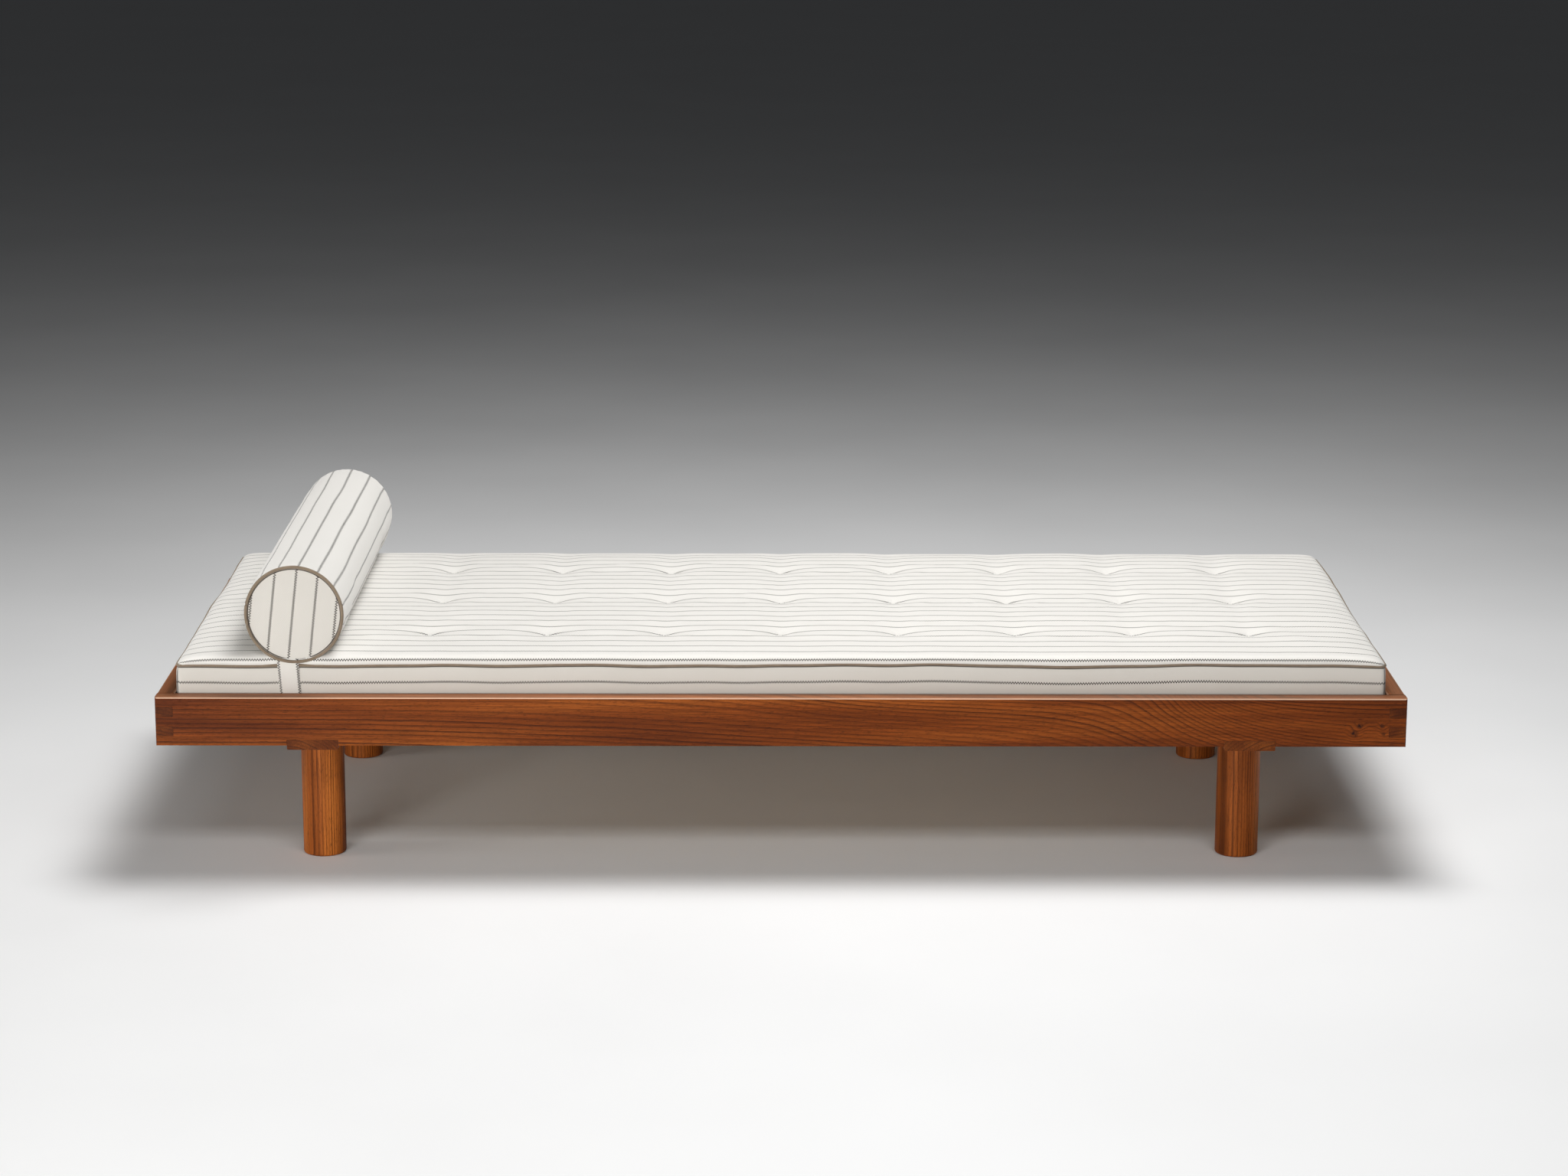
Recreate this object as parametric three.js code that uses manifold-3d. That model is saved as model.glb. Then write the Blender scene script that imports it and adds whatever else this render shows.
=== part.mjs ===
// Daybed: a finger-jointed board frame on four round legs, slats, a tufted mattress and a bolster.
// Units are millimetres. +X runs along the bed from head to foot, +Y from front to back, +Z up.
// The origin is on the floor under the middle of the frame.
import * as THREE from "three";
import { mergeVertices } from "three/addons/utils/BufferGeometryUtils.js";
import Module from "manifold-3d";

const wasm = await Module();
wasm.setup();

// Frame
const LENGTH = 2000;
const WIDTH = 850;
const RAIL_TOP = 295;
const RAIL_HEIGHT = 80;
const BOARD = 28;
const FINGERS = 5;
const EDGE_RADIUS = 2;
const CORNER_RADIUS = 3;
const GAP = 0.3;

// Crossbars, which carry the legs and pass under the rails
const CROSSBAR_X = 750;
const CROSSBAR_WIDTH = 82;
const TONGUE = 16;
const DROP_BELOW_RAIL = 6.5;

// Legs and their fixings
const LEG_RADIUS = 35;
const LEG_INSET = 130;
const FOOT_EDGE = 4;
const BOLT_RADIUS = 4;
const BOLT_IN_LEG = 42;
const WASHER = { radius: 11, thickness: 1.6 };
const NUT = { across: 13, height: 6.5 };
const COUNTERBORE = { radius: 14, depth: 11 };

// Slatted base
const LEDGER = { width: 20, height: 19 };
const SLAT = { width: 80, thickness: 18, count: 13 };
const TAPE = { width: 25, thickness: 1.5, y: 200 };
const LEDGER_SCREW_X = [-860, -270, 270, 860];
const SCREW = { radius: 2, head: 4, headDepth: 3, tip: 4 };

// Mattress
const PIPING_RADIUS = 2.5;
const SEAM_Z = 339.4;
const SEAM_END_CLEARANCE = 3.2;
const SEAM_SIDE_CLEARANCE = 6;
const SEAM_CORNER = 12;
const GROOVE = 3.1;
const BOXING_BULGE = 1.6;
const CROWN = 18.4;
const CROWN_REACH = 62;
const CROWN_POWER = 3;
const TUFT = { pitchX: 192, pitchY: 233, columns: 9, rows: 3, depth: 9.6, spread: 22 };

// Bolster and its strap
const BOLSTER = { x: -778, z: 423, radius: 80, swell: 0.8, halfLength: 388 };
const STRAP = { width: 34, thickness: 1.6, tuckedY: 330, offset: -12 };
const SEAT_GAP = 2.5;

// Sides of the round solids; an arc of a shape is drawn with twice this many steps as its segments
const SIDES = { leg: 36, hole: 16, bolt: 12, washer: 16, screw: 10, bolster: 32, piping: 6 };
const ARC_SEGMENTS = { edge: 1, corner: 2, nut: 6 };

const RAIL_BOTTOM = RAIL_TOP - RAIL_HEIGHT;
const INNER_X = LENGTH / 2 - BOARD;
const INNER_Y = WIDTH / 2 - BOARD;
const CROSSBAR_BOTTOM = RAIL_BOTTOM - DROP_BELOW_RAIL;
const TONGUE_TOP = CROSSBAR_BOTTOM + TONGUE;
const LEDGER_BOTTOM = TONGUE_TOP + GAP;
const LEDGER_TOP = LEDGER_BOTTOM + LEDGER.height;
const LEDGER_INNER_Y = INNER_Y - LEDGER.width;
const SLAT_BOTTOM = LEDGER_TOP + GAP;
const SLAT_TOP = SLAT_BOTTOM + SLAT.thickness;
const TAPE_BOTTOM = SLAT_TOP + GAP;
const STRAP_BOTTOM = TAPE_BOTTOM + TAPE.thickness + GAP;
const MATTRESS_BOTTOM = STRAP_BOTTOM + STRAP.thickness + GAP;
const SEAM_X = INNER_X - SEAM_END_CLEARANCE;
const SEAM_Y = INNER_Y - SEAM_SIDE_CLEARANCE;
const LOWER_SEAM_Z = MATTRESS_BOTTOM + PIPING_RADIUS + 0.5;
const PANEL_Z = SEAM_Z + GROOVE;
const LEG_Y = WIDTH / 2 - LEG_INSET;
const LEG_TOP = CROSSBAR_BOTTOM - GAP;
const NUT_FLOOR = LEDGER_TOP - COUNTERBORE.depth;

const WOOD = { color: "#7a4526", roughness: 0.45 };
const LEG_WOOD = { color: "#8b4f22", roughness: 0.4 };
const BASE_WOOD = { color: "#c9a97a", roughness: 0.7 };
const STEEL = { color: "#b9bcc0", roughness: 0.35, metalness: 1 };
const WEBBING = { color: "#d8d2c4", roughness: 0.95 };
const TICKING = { color: "#efe9df", roughness: 0.95 };
const PIPING = { color: "#8c8070", roughness: 0.9 };

const FRAME_SIDES = [["front", -1], ["back", 1]];
const FRAME_ENDS = [["head", -1], ["foot", 1]];

// Solids: joining, cutting and turning

function toSolid(geometry) {
  const bare = geometry.clone();
  bare.deleteAttribute("normal");
  bare.deleteAttribute("uv");
  const merged = mergeVertices(bare);
  const index = merged.index.array;
  const triVerts = [];
  for (let k = 0; k < index.length; k += 3) {
    const [a, b, c] = index.slice(k, k + 3);
    if (a !== b && b !== c && c !== a) triVerts.push(a, b, c);
  }
  return new wasm.Manifold(new wasm.Mesh({
    numProp: 3,
    vertProperties: new Float32Array(merged.attributes.position.array),
    triVerts: new Uint32Array(triVerts),
  }));
}

function toGeometry(solid) {
  const mesh = solid.getMesh();
  const geometry = new THREE.BufferGeometry();
  geometry.setAttribute("position", new THREE.BufferAttribute(mesh.vertProperties, mesh.numProp));
  geometry.setIndex(new THREE.BufferAttribute(mesh.triVerts, 1));
  geometry.computeVertexNormals();
  return geometry;
}

function cut(geometry, ...tools) {
  const solid = tools.reduce((rest, tool) => rest.subtract(toSolid(tool)), toSolid(geometry));
  return toGeometry(solid);
}

function turn(geometry, xAxis, yAxis, zAxis) {
  const basis = new THREE.Matrix4().makeBasis(
    new THREE.Vector3(...xAxis), new THREE.Vector3(...yAxis), new THREE.Vector3(...zAxis),
  );
  return geometry.applyMatrix4(basis);
}

// A shape drawn in (Y, Z) and extruded along X, centred on x = 0.
function extrudeAlongX(shape, length) {
  const options = { depth: length, bevelEnabled: false, curveSegments: ARC_SEGMENTS.edge };
  const geometry = new THREE.ExtrudeGeometry(shape, options);
  geometry.translate(0, 0, -length / 2);
  return turn(geometry, [0, 1, 0], [0, 0, 1], [1, 0, 0]);
}

// A shape drawn in (-X, Z) and extruded along Y, centred on y = 0.
function extrudeAlongY(shape, length) {
  const options = { depth: length, bevelEnabled: false, curveSegments: ARC_SEGMENTS.edge };
  const geometry = new THREE.ExtrudeGeometry(shape, options);
  geometry.translate(0, 0, -length / 2);
  return turn(geometry, [-1, 0, 0], [0, 0, 1], [0, 1, 0]);
}

function block(x0, x1, y0, y1, z0, z1) {
  const geometry = new THREE.BoxGeometry(x1 - x0, y1 - y0, z1 - z0);
  return geometry.translate((x0 + x1) / 2, (y0 + y1) / 2, (z0 + z1) / 2);
}

// A rectangle about (0, 0) with its lower corners rounded by `lower` and its upper ones by `upper`.
function roundedShape(width, height, lower, upper) {
  const right = width / 2;
  const top = height / 2;
  const shape = new THREE.Shape();
  shape.moveTo(-right + lower, -top);
  shape.lineTo(right - lower, -top);
  if (lower) shape.absarc(right - lower, -top + lower, lower, -Math.PI / 2, 0);
  shape.lineTo(right, top - upper);
  if (upper) shape.absarc(right - upper, top - upper, upper, 0, Math.PI / 2);
  shape.lineTo(-right + upper, top);
  if (upper) shape.absarc(-right + upper, top - upper, upper, Math.PI / 2, Math.PI);
  shape.lineTo(-right, -top + lower);
  if (lower) shape.absarc(-right + lower, -top + lower, lower, Math.PI, Math.PI * 1.5);
  return shape;
}

function rod(radius, z0, z1, sides) {
  const geometry = new THREE.CylinderGeometry(radius, radius, z1 - z0, sides);
  return geometry.rotateX(Math.PI / 2).translate(0, 0, (z0 + z1) / 2);
}

// A profile of [radius, z] points turned about the Z axis.
function turned(profile, sides) {
  const points = profile.map(([radius, z]) => new THREE.Vector2(radius, z));
  return new THREE.LatheGeometry(points, sides).rotateX(Math.PI / 2);
}

// Frame boards

// Prism of the whole frame's outline, which rounds the outer corners of every board.
function frameOutline() {
  const shape = roundedShape(LENGTH, WIDTH, CORNER_RADIUS, CORNER_RADIUS);
  const options = { depth: RAIL_HEIGHT + 2 * GAP, bevelEnabled: false, curveSegments: ARC_SEGMENTS.corner };
  const geometry = new THREE.ExtrudeGeometry(shape, options);
  return geometry.translate(0, 0, RAIL_BOTTOM - GAP);
}

function withinOutline(geometry) {
  return toGeometry(toSolid(geometry).intersect(toSolid(frameOutline())));
}

// Blocks that clear the finger bands of one parity, at both ends of a board.
function fingerCuts(parity, clearAt) {
  const band = RAIL_HEIGHT / FINGERS;
  const cuts = [];
  for (let k = parity; k < FINGERS; k += 2) {
    const bottom = RAIL_BOTTOM + k * band - (k === 0 ? 1 : GAP / 2);
    const top = RAIL_BOTTOM + (k + 1) * band + (k === FINGERS - 1 ? 1 : GAP / 2);
    cuts.push(clearAt(-1, bottom, top), clearAt(1, bottom, top));
  }
  return cuts;
}

function span(side, from, to) {
  return side < 0 ? [-to, -from] : [from, to];
}

function rail(side) {
  const profile = roundedShape(BOARD, RAIL_HEIGHT, EDGE_RADIUS, EDGE_RADIUS);
  const board = extrudeAlongX(profile, LENGTH);
  board.translate(0, side * (WIDTH - BOARD) / 2, RAIL_TOP - RAIL_HEIGHT / 2);
  const [y0, y1] = span(side, INNER_Y - 1, WIDTH / 2 + 1);
  const fingers = fingerCuts(1, (end, z0, z1) => {
    const [x0, x1] = span(end, INNER_X - GAP, LENGTH / 2 + 1);
    return block(x0, x1, y0, y1, z0, z1);
  });
  const halfHousing = CROSSBAR_WIDTH / 2 + GAP;
  const housings = FRAME_ENDS.map(([, end]) => block(
    end * CROSSBAR_X - halfHousing, end * CROSSBAR_X + halfHousing,
    y0, y1, RAIL_BOTTOM - 1, TONGUE_TOP + GAP,
  ));
  const screws = LEDGER_SCREW_X.map((x) => ledgerScrew(x, side, GAP));
  return cut(withinOutline(board), ...fingers, ...housings, ...screws);
}

function endBoard(end) {
  const profile = roundedShape(BOARD, RAIL_HEIGHT, EDGE_RADIUS, EDGE_RADIUS);
  const board = extrudeAlongY(profile, WIDTH);
  board.translate(end * (LENGTH - BOARD) / 2, 0, RAIL_TOP - RAIL_HEIGHT / 2);
  const [x0, x1] = span(end, INNER_X - 1, LENGTH / 2 + 1);
  const fingers = fingerCuts(0, (side, z0, z1) => {
    const [y0, y1] = span(side, INNER_Y - GAP, WIDTH / 2 + 1);
    return block(x0, x1, y0, y1, z0, z1);
  });
  return cut(withinOutline(board), ...fingers);
}

// Crossbars, legs and fixings. Each is modelled about x = 0 and placed by its mesh.

function crossbar() {
  const profile = roundedShape(CROSSBAR_WIDTH, TONGUE, EDGE_RADIUS, 0);
  const tongue = extrudeAlongY(profile, WIDTH).translate(0, 0, CROSSBAR_BOTTOM + TONGUE / 2);
  const half = CROSSBAR_WIDTH / 2;
  const reach = LEDGER_INNER_Y - GAP;
  const middle = block(-half, half, -reach, reach, CROSSBAR_BOTTOM + TONGUE / 2, LEDGER_TOP);
  const bar = toGeometry(toSolid(tongue).add(toSolid(middle)));
  const holes = FRAME_SIDES.flatMap(([, side]) => [
    rod(BOLT_RADIUS + GAP, CROSSBAR_BOTTOM - 1, LEDGER_TOP + 1, SIDES.hole).translate(0, side * LEG_Y, 0),
    rod(COUNTERBORE.radius, NUT_FLOOR, LEDGER_TOP + 1, SIDES.hole).translate(0, side * LEG_Y, 0),
  ]);
  return cut(bar, ...holes);
}

function leg() {
  const bore = BOLT_RADIUS + GAP;
  const boreFloor = LEG_TOP - BOLT_IN_LEG;
  const foot = [0, 1, 2, 3].map((k) => {
    const angle = k * Math.PI / 6;
    return [LEG_RADIUS - FOOT_EDGE * (1 - Math.cos(angle)), FOOT_EDGE * (1 - Math.sin(angle))];
  });
  const profile = [
    [0, 0], ...foot.reverse(), [LEG_RADIUS, LEG_TOP], [bore, LEG_TOP], [bore, boreFloor], [0, boreFloor],
  ];
  return turned(profile, SIDES.leg);
}

function hangerBolt() {
  const bottom = LEG_TOP - BOLT_IN_LEG + GAP;
  const top = NUT_FLOOR + WASHER.thickness + NUT.height + 4 * GAP;
  const point = 6;
  const profile = [
    [0, bottom], [BOLT_RADIUS, bottom + point], [BOLT_RADIUS, top - 1], [BOLT_RADIUS - 1, top], [0, top],
  ];
  return turned(profile, SIDES.bolt);
}

function washer() {
  const bottom = NUT_FLOOR + GAP;
  const top = bottom + WASHER.thickness;
  const bore = BOLT_RADIUS + GAP;
  const ring = [[bore, bottom], [WASHER.radius, bottom], [WASHER.radius, top], [bore, top], [bore, bottom]];
  return turned(ring, SIDES.washer);
}

function nut() {
  const shape = new THREE.Shape();
  const corner = NUT.across / Math.sqrt(3);
  for (let k = 0; k < 6; k += 1) {
    const angle = k * Math.PI / 3;
    const point = [corner * Math.cos(angle), corner * Math.sin(angle)];
    if (k === 0) shape.moveTo(...point);
    else shape.lineTo(...point);
  }
  const bore = new THREE.Path();
  bore.absarc(0, 0, BOLT_RADIUS + GAP, 0, Math.PI * 2, true);
  shape.holes.push(bore);
  const options = { depth: NUT.height, bevelEnabled: false, curveSegments: ARC_SEGMENTS.nut };
  const geometry = new THREE.ExtrudeGeometry(shape, options);
  return geometry.translate(0, 0, NUT_FLOOR + WASHER.thickness + 2 * GAP);
}

// Slatted base

// Countersunk screw pointing down from z = 0; `clear` grows it into the hole that it needs.
function screw(length, clear) {
  const radius = SCREW.radius + clear;
  const head = SCREW.head + clear;
  const top = clear ? 1 : -GAP;
  const profile = [
    [0, -length - clear], [radius, -length + SCREW.tip], [radius, -SCREW.headDepth - clear],
    [head, -GAP - clear], [head, top], [0, top],
  ];
  return turned(profile, SIDES.screw);
}

function ledgerScrew(x, side, clear) {
  const length = LEDGER.width + 16;
  const z = (LEDGER_BOTTOM + LEDGER_TOP) / 2;
  return screw(length, clear).rotateX(side * Math.PI / 2).translate(x, side * LEDGER_INNER_Y, z);
}

function slatScrew(x, side, clear) {
  const y = side * (LEDGER_INNER_Y + LEDGER.width / 2);
  return screw(SLAT.thickness + 14, clear).translate(x, y, SLAT_TOP);
}

function slatX(k) {
  return (k - (SLAT.count - 1) / 2) * (2 * INNER_X / SLAT.count);
}

const SCREWED_SLATS = [0, SLAT.count - 1];

function ledger(side) {
  const [y0, y1] = span(side, LEDGER_INNER_Y, INNER_Y - GAP);
  const bar = block(-INNER_X + GAP, INNER_X - GAP, y0, y1, LEDGER_BOTTOM, LEDGER_TOP);
  const railScrews = LEDGER_SCREW_X.map((x) => ledgerScrew(x, side, GAP));
  const slatScrews = SCREWED_SLATS.map((k) => slatScrew(slatX(k), side, GAP));
  return cut(bar, ...railScrews, ...slatScrews);
}

function slat(k) {
  const profile = roundedShape(SLAT.width, SLAT.thickness, EDGE_RADIUS, EDGE_RADIUS);
  const board = extrudeAlongY(profile, 2 * (INNER_Y - 2 * GAP));
  board.translate(slatX(k), 0, SLAT_BOTTOM + SLAT.thickness / 2);
  if (!SCREWED_SLATS.includes(k)) return board;
  return cut(board, ...FRAME_SIDES.map(([, side]) => slatScrew(slatX(k), side, GAP)));
}

function tape(side) {
  const reach = slatX(SLAT.count - 1) + SLAT.width / 2;
  const half = TAPE.width / 2;
  const y = side * TAPE.y;
  return block(-reach, reach, y - half, y + half, TAPE_BOTTOM, TAPE_BOTTOM + TAPE.thickness);
}

// Mattress

// Height of the top panel at a distance `inset` in from its edge, away from the tufts.
function crownHeight(inset) {
  const share = Math.min(Math.max(inset, 0) / CROWN_REACH, 1);
  return PANEL_Z + CROWN * (1 - (1 - share) ** CROWN_POWER);
}

function tuftDip(x, y) {
  let dip = 0;
  for (let column = 0; column < TUFT.columns; column += 1) {
    for (let row = 0; row < TUFT.rows; row += 1) {
      const dx = x - (column - (TUFT.columns - 1) / 2) * TUFT.pitchX;
      const dy = y - (row - (TUFT.rows - 1) / 2) * TUFT.pitchY;
      dip += TUFT.depth * Math.exp(-(dx * dx + dy * dy) / (2 * TUFT.spread ** 2));
    }
  }
  return dip;
}

// Grid lines from -end to end, with `steps` equal steps up to each stop on either side of 0.
function gridLines(stops) {
  const half = [0];
  for (const [end, steps] of stops) {
    const start = half.at(-1);
    for (let k = 1; k <= steps; k += 1) half.push(start + (end - start) * k / steps);
  }
  return [...half.slice(1).reverse().map((value) => -value), ...half];
}

function mattress() {
  const halfX = SEAM_X - GROOVE;
  const halfY = SEAM_Y - GROOVE;
  const corner = SEAM_CORNER - GROOVE;
  const innerX = halfX - corner;
  const innerY = halfY - corner;
  const lastTuftX = TUFT.pitchX * (TUFT.columns - 1) / 2;
  const lastTuftY = TUFT.pitchY * (TUFT.rows - 1) / 2;
  const xs = gridLines([[lastTuftX, 16], [halfX - CROWN_REACH, 2], [innerX, 4], [halfX, 2]]);
  const ys = gridLines([[lastTuftY, 4], [halfY - CROWN_REACH, 1], [innerY, 4], [halfY, 2]]);
  const columns = xs.length;
  const rows = ys.length;
  const positions = [];
  const index = [];

  // A grid point with the square corners drawn in to round ones; `offset` moves the outline out.
  const outlinePoint = (x, y, offset) => {
    const u = Math.max(Math.abs(x) - innerX, 0) / corner;
    const v = Math.max(Math.abs(y) - innerY, 0) / corner;
    const length = Math.hypot(u, v) || 1;
    const reach = Math.max(u, v) * (corner + offset) / length;
    const baseX = Math.min(Math.abs(x), innerX);
    const baseY = Math.min(Math.abs(y), innerY);
    return [Math.sign(x) * (baseX + u * reach), Math.sign(y) * (baseY + v * reach)];
  };

  for (const y of ys) {
    for (const x of xs) {
      const [px, py] = outlinePoint(x, y, 0);
      const qx = Math.abs(px) - innerX;
      const qy = Math.abs(py) - innerY;
      const outside = Math.hypot(Math.max(qx, 0), Math.max(qy, 0)) + Math.min(Math.max(qx, qy), 0);
      positions.push(px, py, crownHeight(corner - outside) - tuftDip(px, py));
    }
  }
  for (let row = 0; row + 1 < rows; row += 1) {
    for (let column = 0; column + 1 < columns; column += 1) {
      const a = row * columns + column;
      const c = a + columns;
      index.push(a, a + 1, c + 1, a, c + 1, c);
    }
  }

  // The rim of the grid, counter-clockwise seen from above, and the rings below it.
  const rim = [];
  for (let column = 0; column < columns - 1; column += 1) rim.push([column, 0]);
  for (let row = 0; row < rows - 1; row += 1) rim.push([columns - 1, row]);
  for (let column = columns - 1; column > 0; column -= 1) rim.push([column, rows - 1]);
  for (let row = rows - 1; row > 0; row -= 1) rim.push([0, row]);
  const rings = [
    [0, SEAM_Z - GROOVE],
    [GROOVE + BOXING_BULGE, SEAM_Z - 4 * GROOVE],
    [GROOVE + BOXING_BULGE, LOWER_SEAM_Z + 4 * GROOVE],
    [0, LOWER_SEAM_Z + GROOVE],
    [0, MATTRESS_BOTTOM],
  ];
  let above = rim.map(([column, row]) => row * columns + column);
  for (const [offset, z] of rings) {
    const below = rim.map(([column, row]) => {
      positions.push(...outlinePoint(xs[column], ys[row], offset), z);
      return positions.length / 3 - 1;
    });
    for (let k = 0; k < rim.length; k += 1) {
      const next = (k + 1) % rim.length;
      index.push(above[k], below[k], below[next], above[k], below[next], above[next]);
    }
    above = below;
  }
  const floor = above.map((vertex) => new THREE.Vector2(positions[3 * vertex], positions[3 * vertex + 1]));
  for (const [a, b, c] of THREE.ShapeUtils.triangulateShape(floor, [])) {
    index.push(above[a], above[c], above[b]);
  }
  const geometry = new THREE.BufferGeometry();
  geometry.setAttribute("position", new THREE.Float32BufferAttribute(positions, 3));
  geometry.setIndex(index);
  geometry.computeVertexNormals();
  return geometry;
}

// A closed loop of tube of rounded-rectangle plan at height z.
function pipingLoop(z) {
  const sides = SIDES.piping;
  const cornerSteps = 6;
  const positions = [];
  const index = [];
  const centres = [[1, 1], [-1, 1], [-1, -1], [1, -1]];
  centres.forEach(([sx, sy], quarter) => {
    for (let step = 0; step <= cornerSteps; step += 1) {
      const heading = (quarter + step / cornerSteps) * Math.PI / 2;
      for (let side = 0; side < sides; side += 1) {
        const angle = (side + 0.5) * 2 * Math.PI / sides;
        const reach = SEAM_CORNER + PIPING_RADIUS * Math.cos(angle);
        positions.push(
          sx * (SEAM_X - SEAM_CORNER) + reach * Math.cos(heading),
          sy * (SEAM_Y - SEAM_CORNER) + reach * Math.sin(heading),
          z + PIPING_RADIUS * Math.sin(angle),
        );
      }
    }
  });
  const count = positions.length / 3 / sides;
  for (let ring = 0; ring < count; ring += 1) {
    const following = (ring + 1) % count;
    for (let side = 0; side < sides; side += 1) {
      const beside = (side + 1) % sides;
      const a = ring * sides + side;
      const b = following * sides + side;
      const c = following * sides + beside;
      const d = ring * sides + beside;
      index.push(a, b, c, a, c, d);
    }
  }
  const geometry = new THREE.BufferGeometry();
  geometry.setAttribute("position", new THREE.Float32BufferAttribute(positions, 3));
  geometry.setIndex(index);
  geometry.computeVertexNormals();
  return geometry;
}

// Bolster and strap, modelled about the bolster's axis and placed by their group

// [y, z] points along the mattress top from one edge to the other, clear of it by `gap`.
function crownSection(gap, fromY) {
  const insets = [0, 4, 8, 13, 19, 26, 34, 43, 52, 62, 95];
  const edge = SEAM_Y - GROOVE;
  const front = insets.map((inset) => [-(edge - inset), crownHeight(inset) + gap]);
  return front.filter(([y]) => y <= -fromY);
}

// The space that the crowned mattress needs under the bolster.
function crownSpace() {
  const front = crownSection(SEAT_GAP, 0);
  const outer = [[-WIDTH / 2, front[0][1]], ...front];
  const back = outer.map(([y, z]) => [-y, z]).reverse();
  const points = [...outer, ...back, [WIDTH / 2, SEAM_Z - 60], [-WIDTH / 2, SEAM_Z - 60]];
  const shape = new THREE.Shape(points.map(([y, z]) => new THREE.Vector2(y, z)).reverse());
  return extrudeAlongX(shape, 4 * BOLSTER.radius);
}

function alongBolster(profile, sides) {
  return turned(profile, sides).rotateX(Math.PI / 2).translate(0, 0, BOLSTER.z);
}

function bolster() {
  const { radius, swell, halfLength } = BOLSTER;
  const core = radius - 2 * PIPING_RADIUS - 0.5;
  const shoulder = halfLength - 2 * PIPING_RADIUS - 0.5;
  const neck = 5.5;
  const end = [[core, halfLength], [core, shoulder], [radius - 1, shoulder - neck], [radius, halfLength / 2]];
  const lower = end.map(([r, y]) => [r, -y]);
  const profile = [[0, -halfLength], ...lower, [radius + swell, 0], ...end.reverse(), [0, halfLength]];
  return cut(alongBolster(profile, SIDES.bolster), crownSpace());
}

function bolsterPiping(side) {
  const sides = SIDES.piping;
  const ring = BOLSTER.radius - PIPING_RADIUS;
  const y = side * (BOLSTER.halfLength - PIPING_RADIUS);
  const profile = [];
  for (let k = 0; k <= sides; k += 1) {
    const angle = (k % sides + 0.5) * 2 * Math.PI / sides;
    profile.push([ring + PIPING_RADIUS * Math.cos(angle), PIPING_RADIUS * Math.sin(angle) - y]);
  }
  return cut(alongBolster(profile, SIDES.bolster), crownSpace());
}

// A band of even thickness on the left of a path of [y, z] points, or on the right if negative.
function bandShape(path, thickness) {
  const outer = path.map(([y, z], k) => {
    const [y0, z0] = path[Math.max(k - 1, 0)];
    const [y1, z1] = path[Math.min(k + 1, path.length - 1)];
    const length = Math.hypot(y1 - y0, z1 - z0);
    return [y - thickness * (z1 - z0) / length, z + thickness * (y1 - y0) / length];
  });
  return new THREE.Shape([...path, ...outer.reverse()].map(([y, z]) => new THREE.Vector2(y, z)));
}

function strap() {
  const clearOfPiping = PIPING_RADIUS + GAP + 0.1;
  const top = crownSection(GAP, STRAP.tuckedY).reverse();
  const around = [30, 60, 90].map((degrees) => {
    const angle = degrees * Math.PI / 180;
    return [-SEAM_Y - clearOfPiping * Math.sin(angle), SEAM_Z + clearOfPiping * Math.cos(angle)];
  });
  const under = [90, 120, 150].map((degrees) => {
    const angle = degrees * Math.PI / 180;
    return [-SEAM_Y - clearOfPiping * Math.sin(angle), LOWER_SEAM_Z + clearOfPiping * Math.cos(angle)];
  });
  const bottom = STRAP_BOTTOM + STRAP.thickness;
  const front = [...top, ...around, ...under, [-SEAM_Y + GROOVE, bottom]];
  const back = front.map(([y, z]) => [-y, z]).reverse();
  const shape = bandShape([...front, ...back], -STRAP.thickness);
  return extrudeAlongX(shape, STRAP.width).translate(STRAP.offset, 0, 0);
}

// Assembly

function piece(name, geometry, { color, roughness, metalness = 0 }) {
  const mesh = new THREE.Mesh(geometry, new THREE.MeshStandardMaterial({ color, roughness, metalness }));
  mesh.name = name;
  return mesh;
}

function frameGroup() {
  const group = new THREE.Group();
  for (const [name, side] of FRAME_SIDES) group.add(piece(`rail_${name}`, rail(side), WOOD));
  for (const [name, end] of FRAME_ENDS) {
    group.add(piece(`end_board_${name}`, endBoard(end), WOOD));
    const undercarriage = new THREE.Group();
    undercarriage.position.x = end * CROSSBAR_X;
    undercarriage.add(piece(`crossbar_${name}`, crossbar(), WOOD));
    for (const [sideName, side] of FRAME_SIDES) undercarriage.add(legGroup(`${name}_${sideName}`, side));
    group.add(undercarriage);
  }
  return group;
}

function legGroup(place, side) {
  const group = new THREE.Group();
  group.position.y = side * LEG_Y;
  group.add(
    piece(`leg_${place}`, leg(), LEG_WOOD),
    piece(`hanger_bolt_${place}`, hangerBolt(), STEEL),
    piece(`washer_${place}`, washer(), STEEL),
    piece(`nut_${place}`, nut(), STEEL),
  );
  return group;
}

function baseGroup() {
  const group = new THREE.Group();
  for (let k = 0; k < SLAT.count; k += 1) group.add(piece(`slat_${k + 1}`, slat(k), BASE_WOOD));
  for (const [name, side] of FRAME_SIDES) {
    group.add(piece(`ledger_${name}`, ledger(side), BASE_WOOD));
    group.add(piece(`slat_tape_${name}`, tape(side), WEBBING));
    LEDGER_SCREW_X.forEach((x, k) => {
      group.add(piece(`ledger_screw_${name}_${k + 1}`, ledgerScrew(x, side, 0), STEEL));
    });
    SCREWED_SLATS.forEach((slatIndex) => {
      const geometry = slatScrew(slatX(slatIndex), side, 0);
      group.add(piece(`slat_screw_${name}_${slatIndex + 1}`, geometry, STEEL));
    });
  }
  return group;
}

function mattressGroup() {
  const group = new THREE.Group();
  group.add(
    piece("mattress", mattress(), TICKING),
    piece("mattress_piping_top", pipingLoop(SEAM_Z), PIPING),
    piece("mattress_piping_bottom", pipingLoop(LOWER_SEAM_Z), PIPING),
  );
  return group;
}

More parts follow.
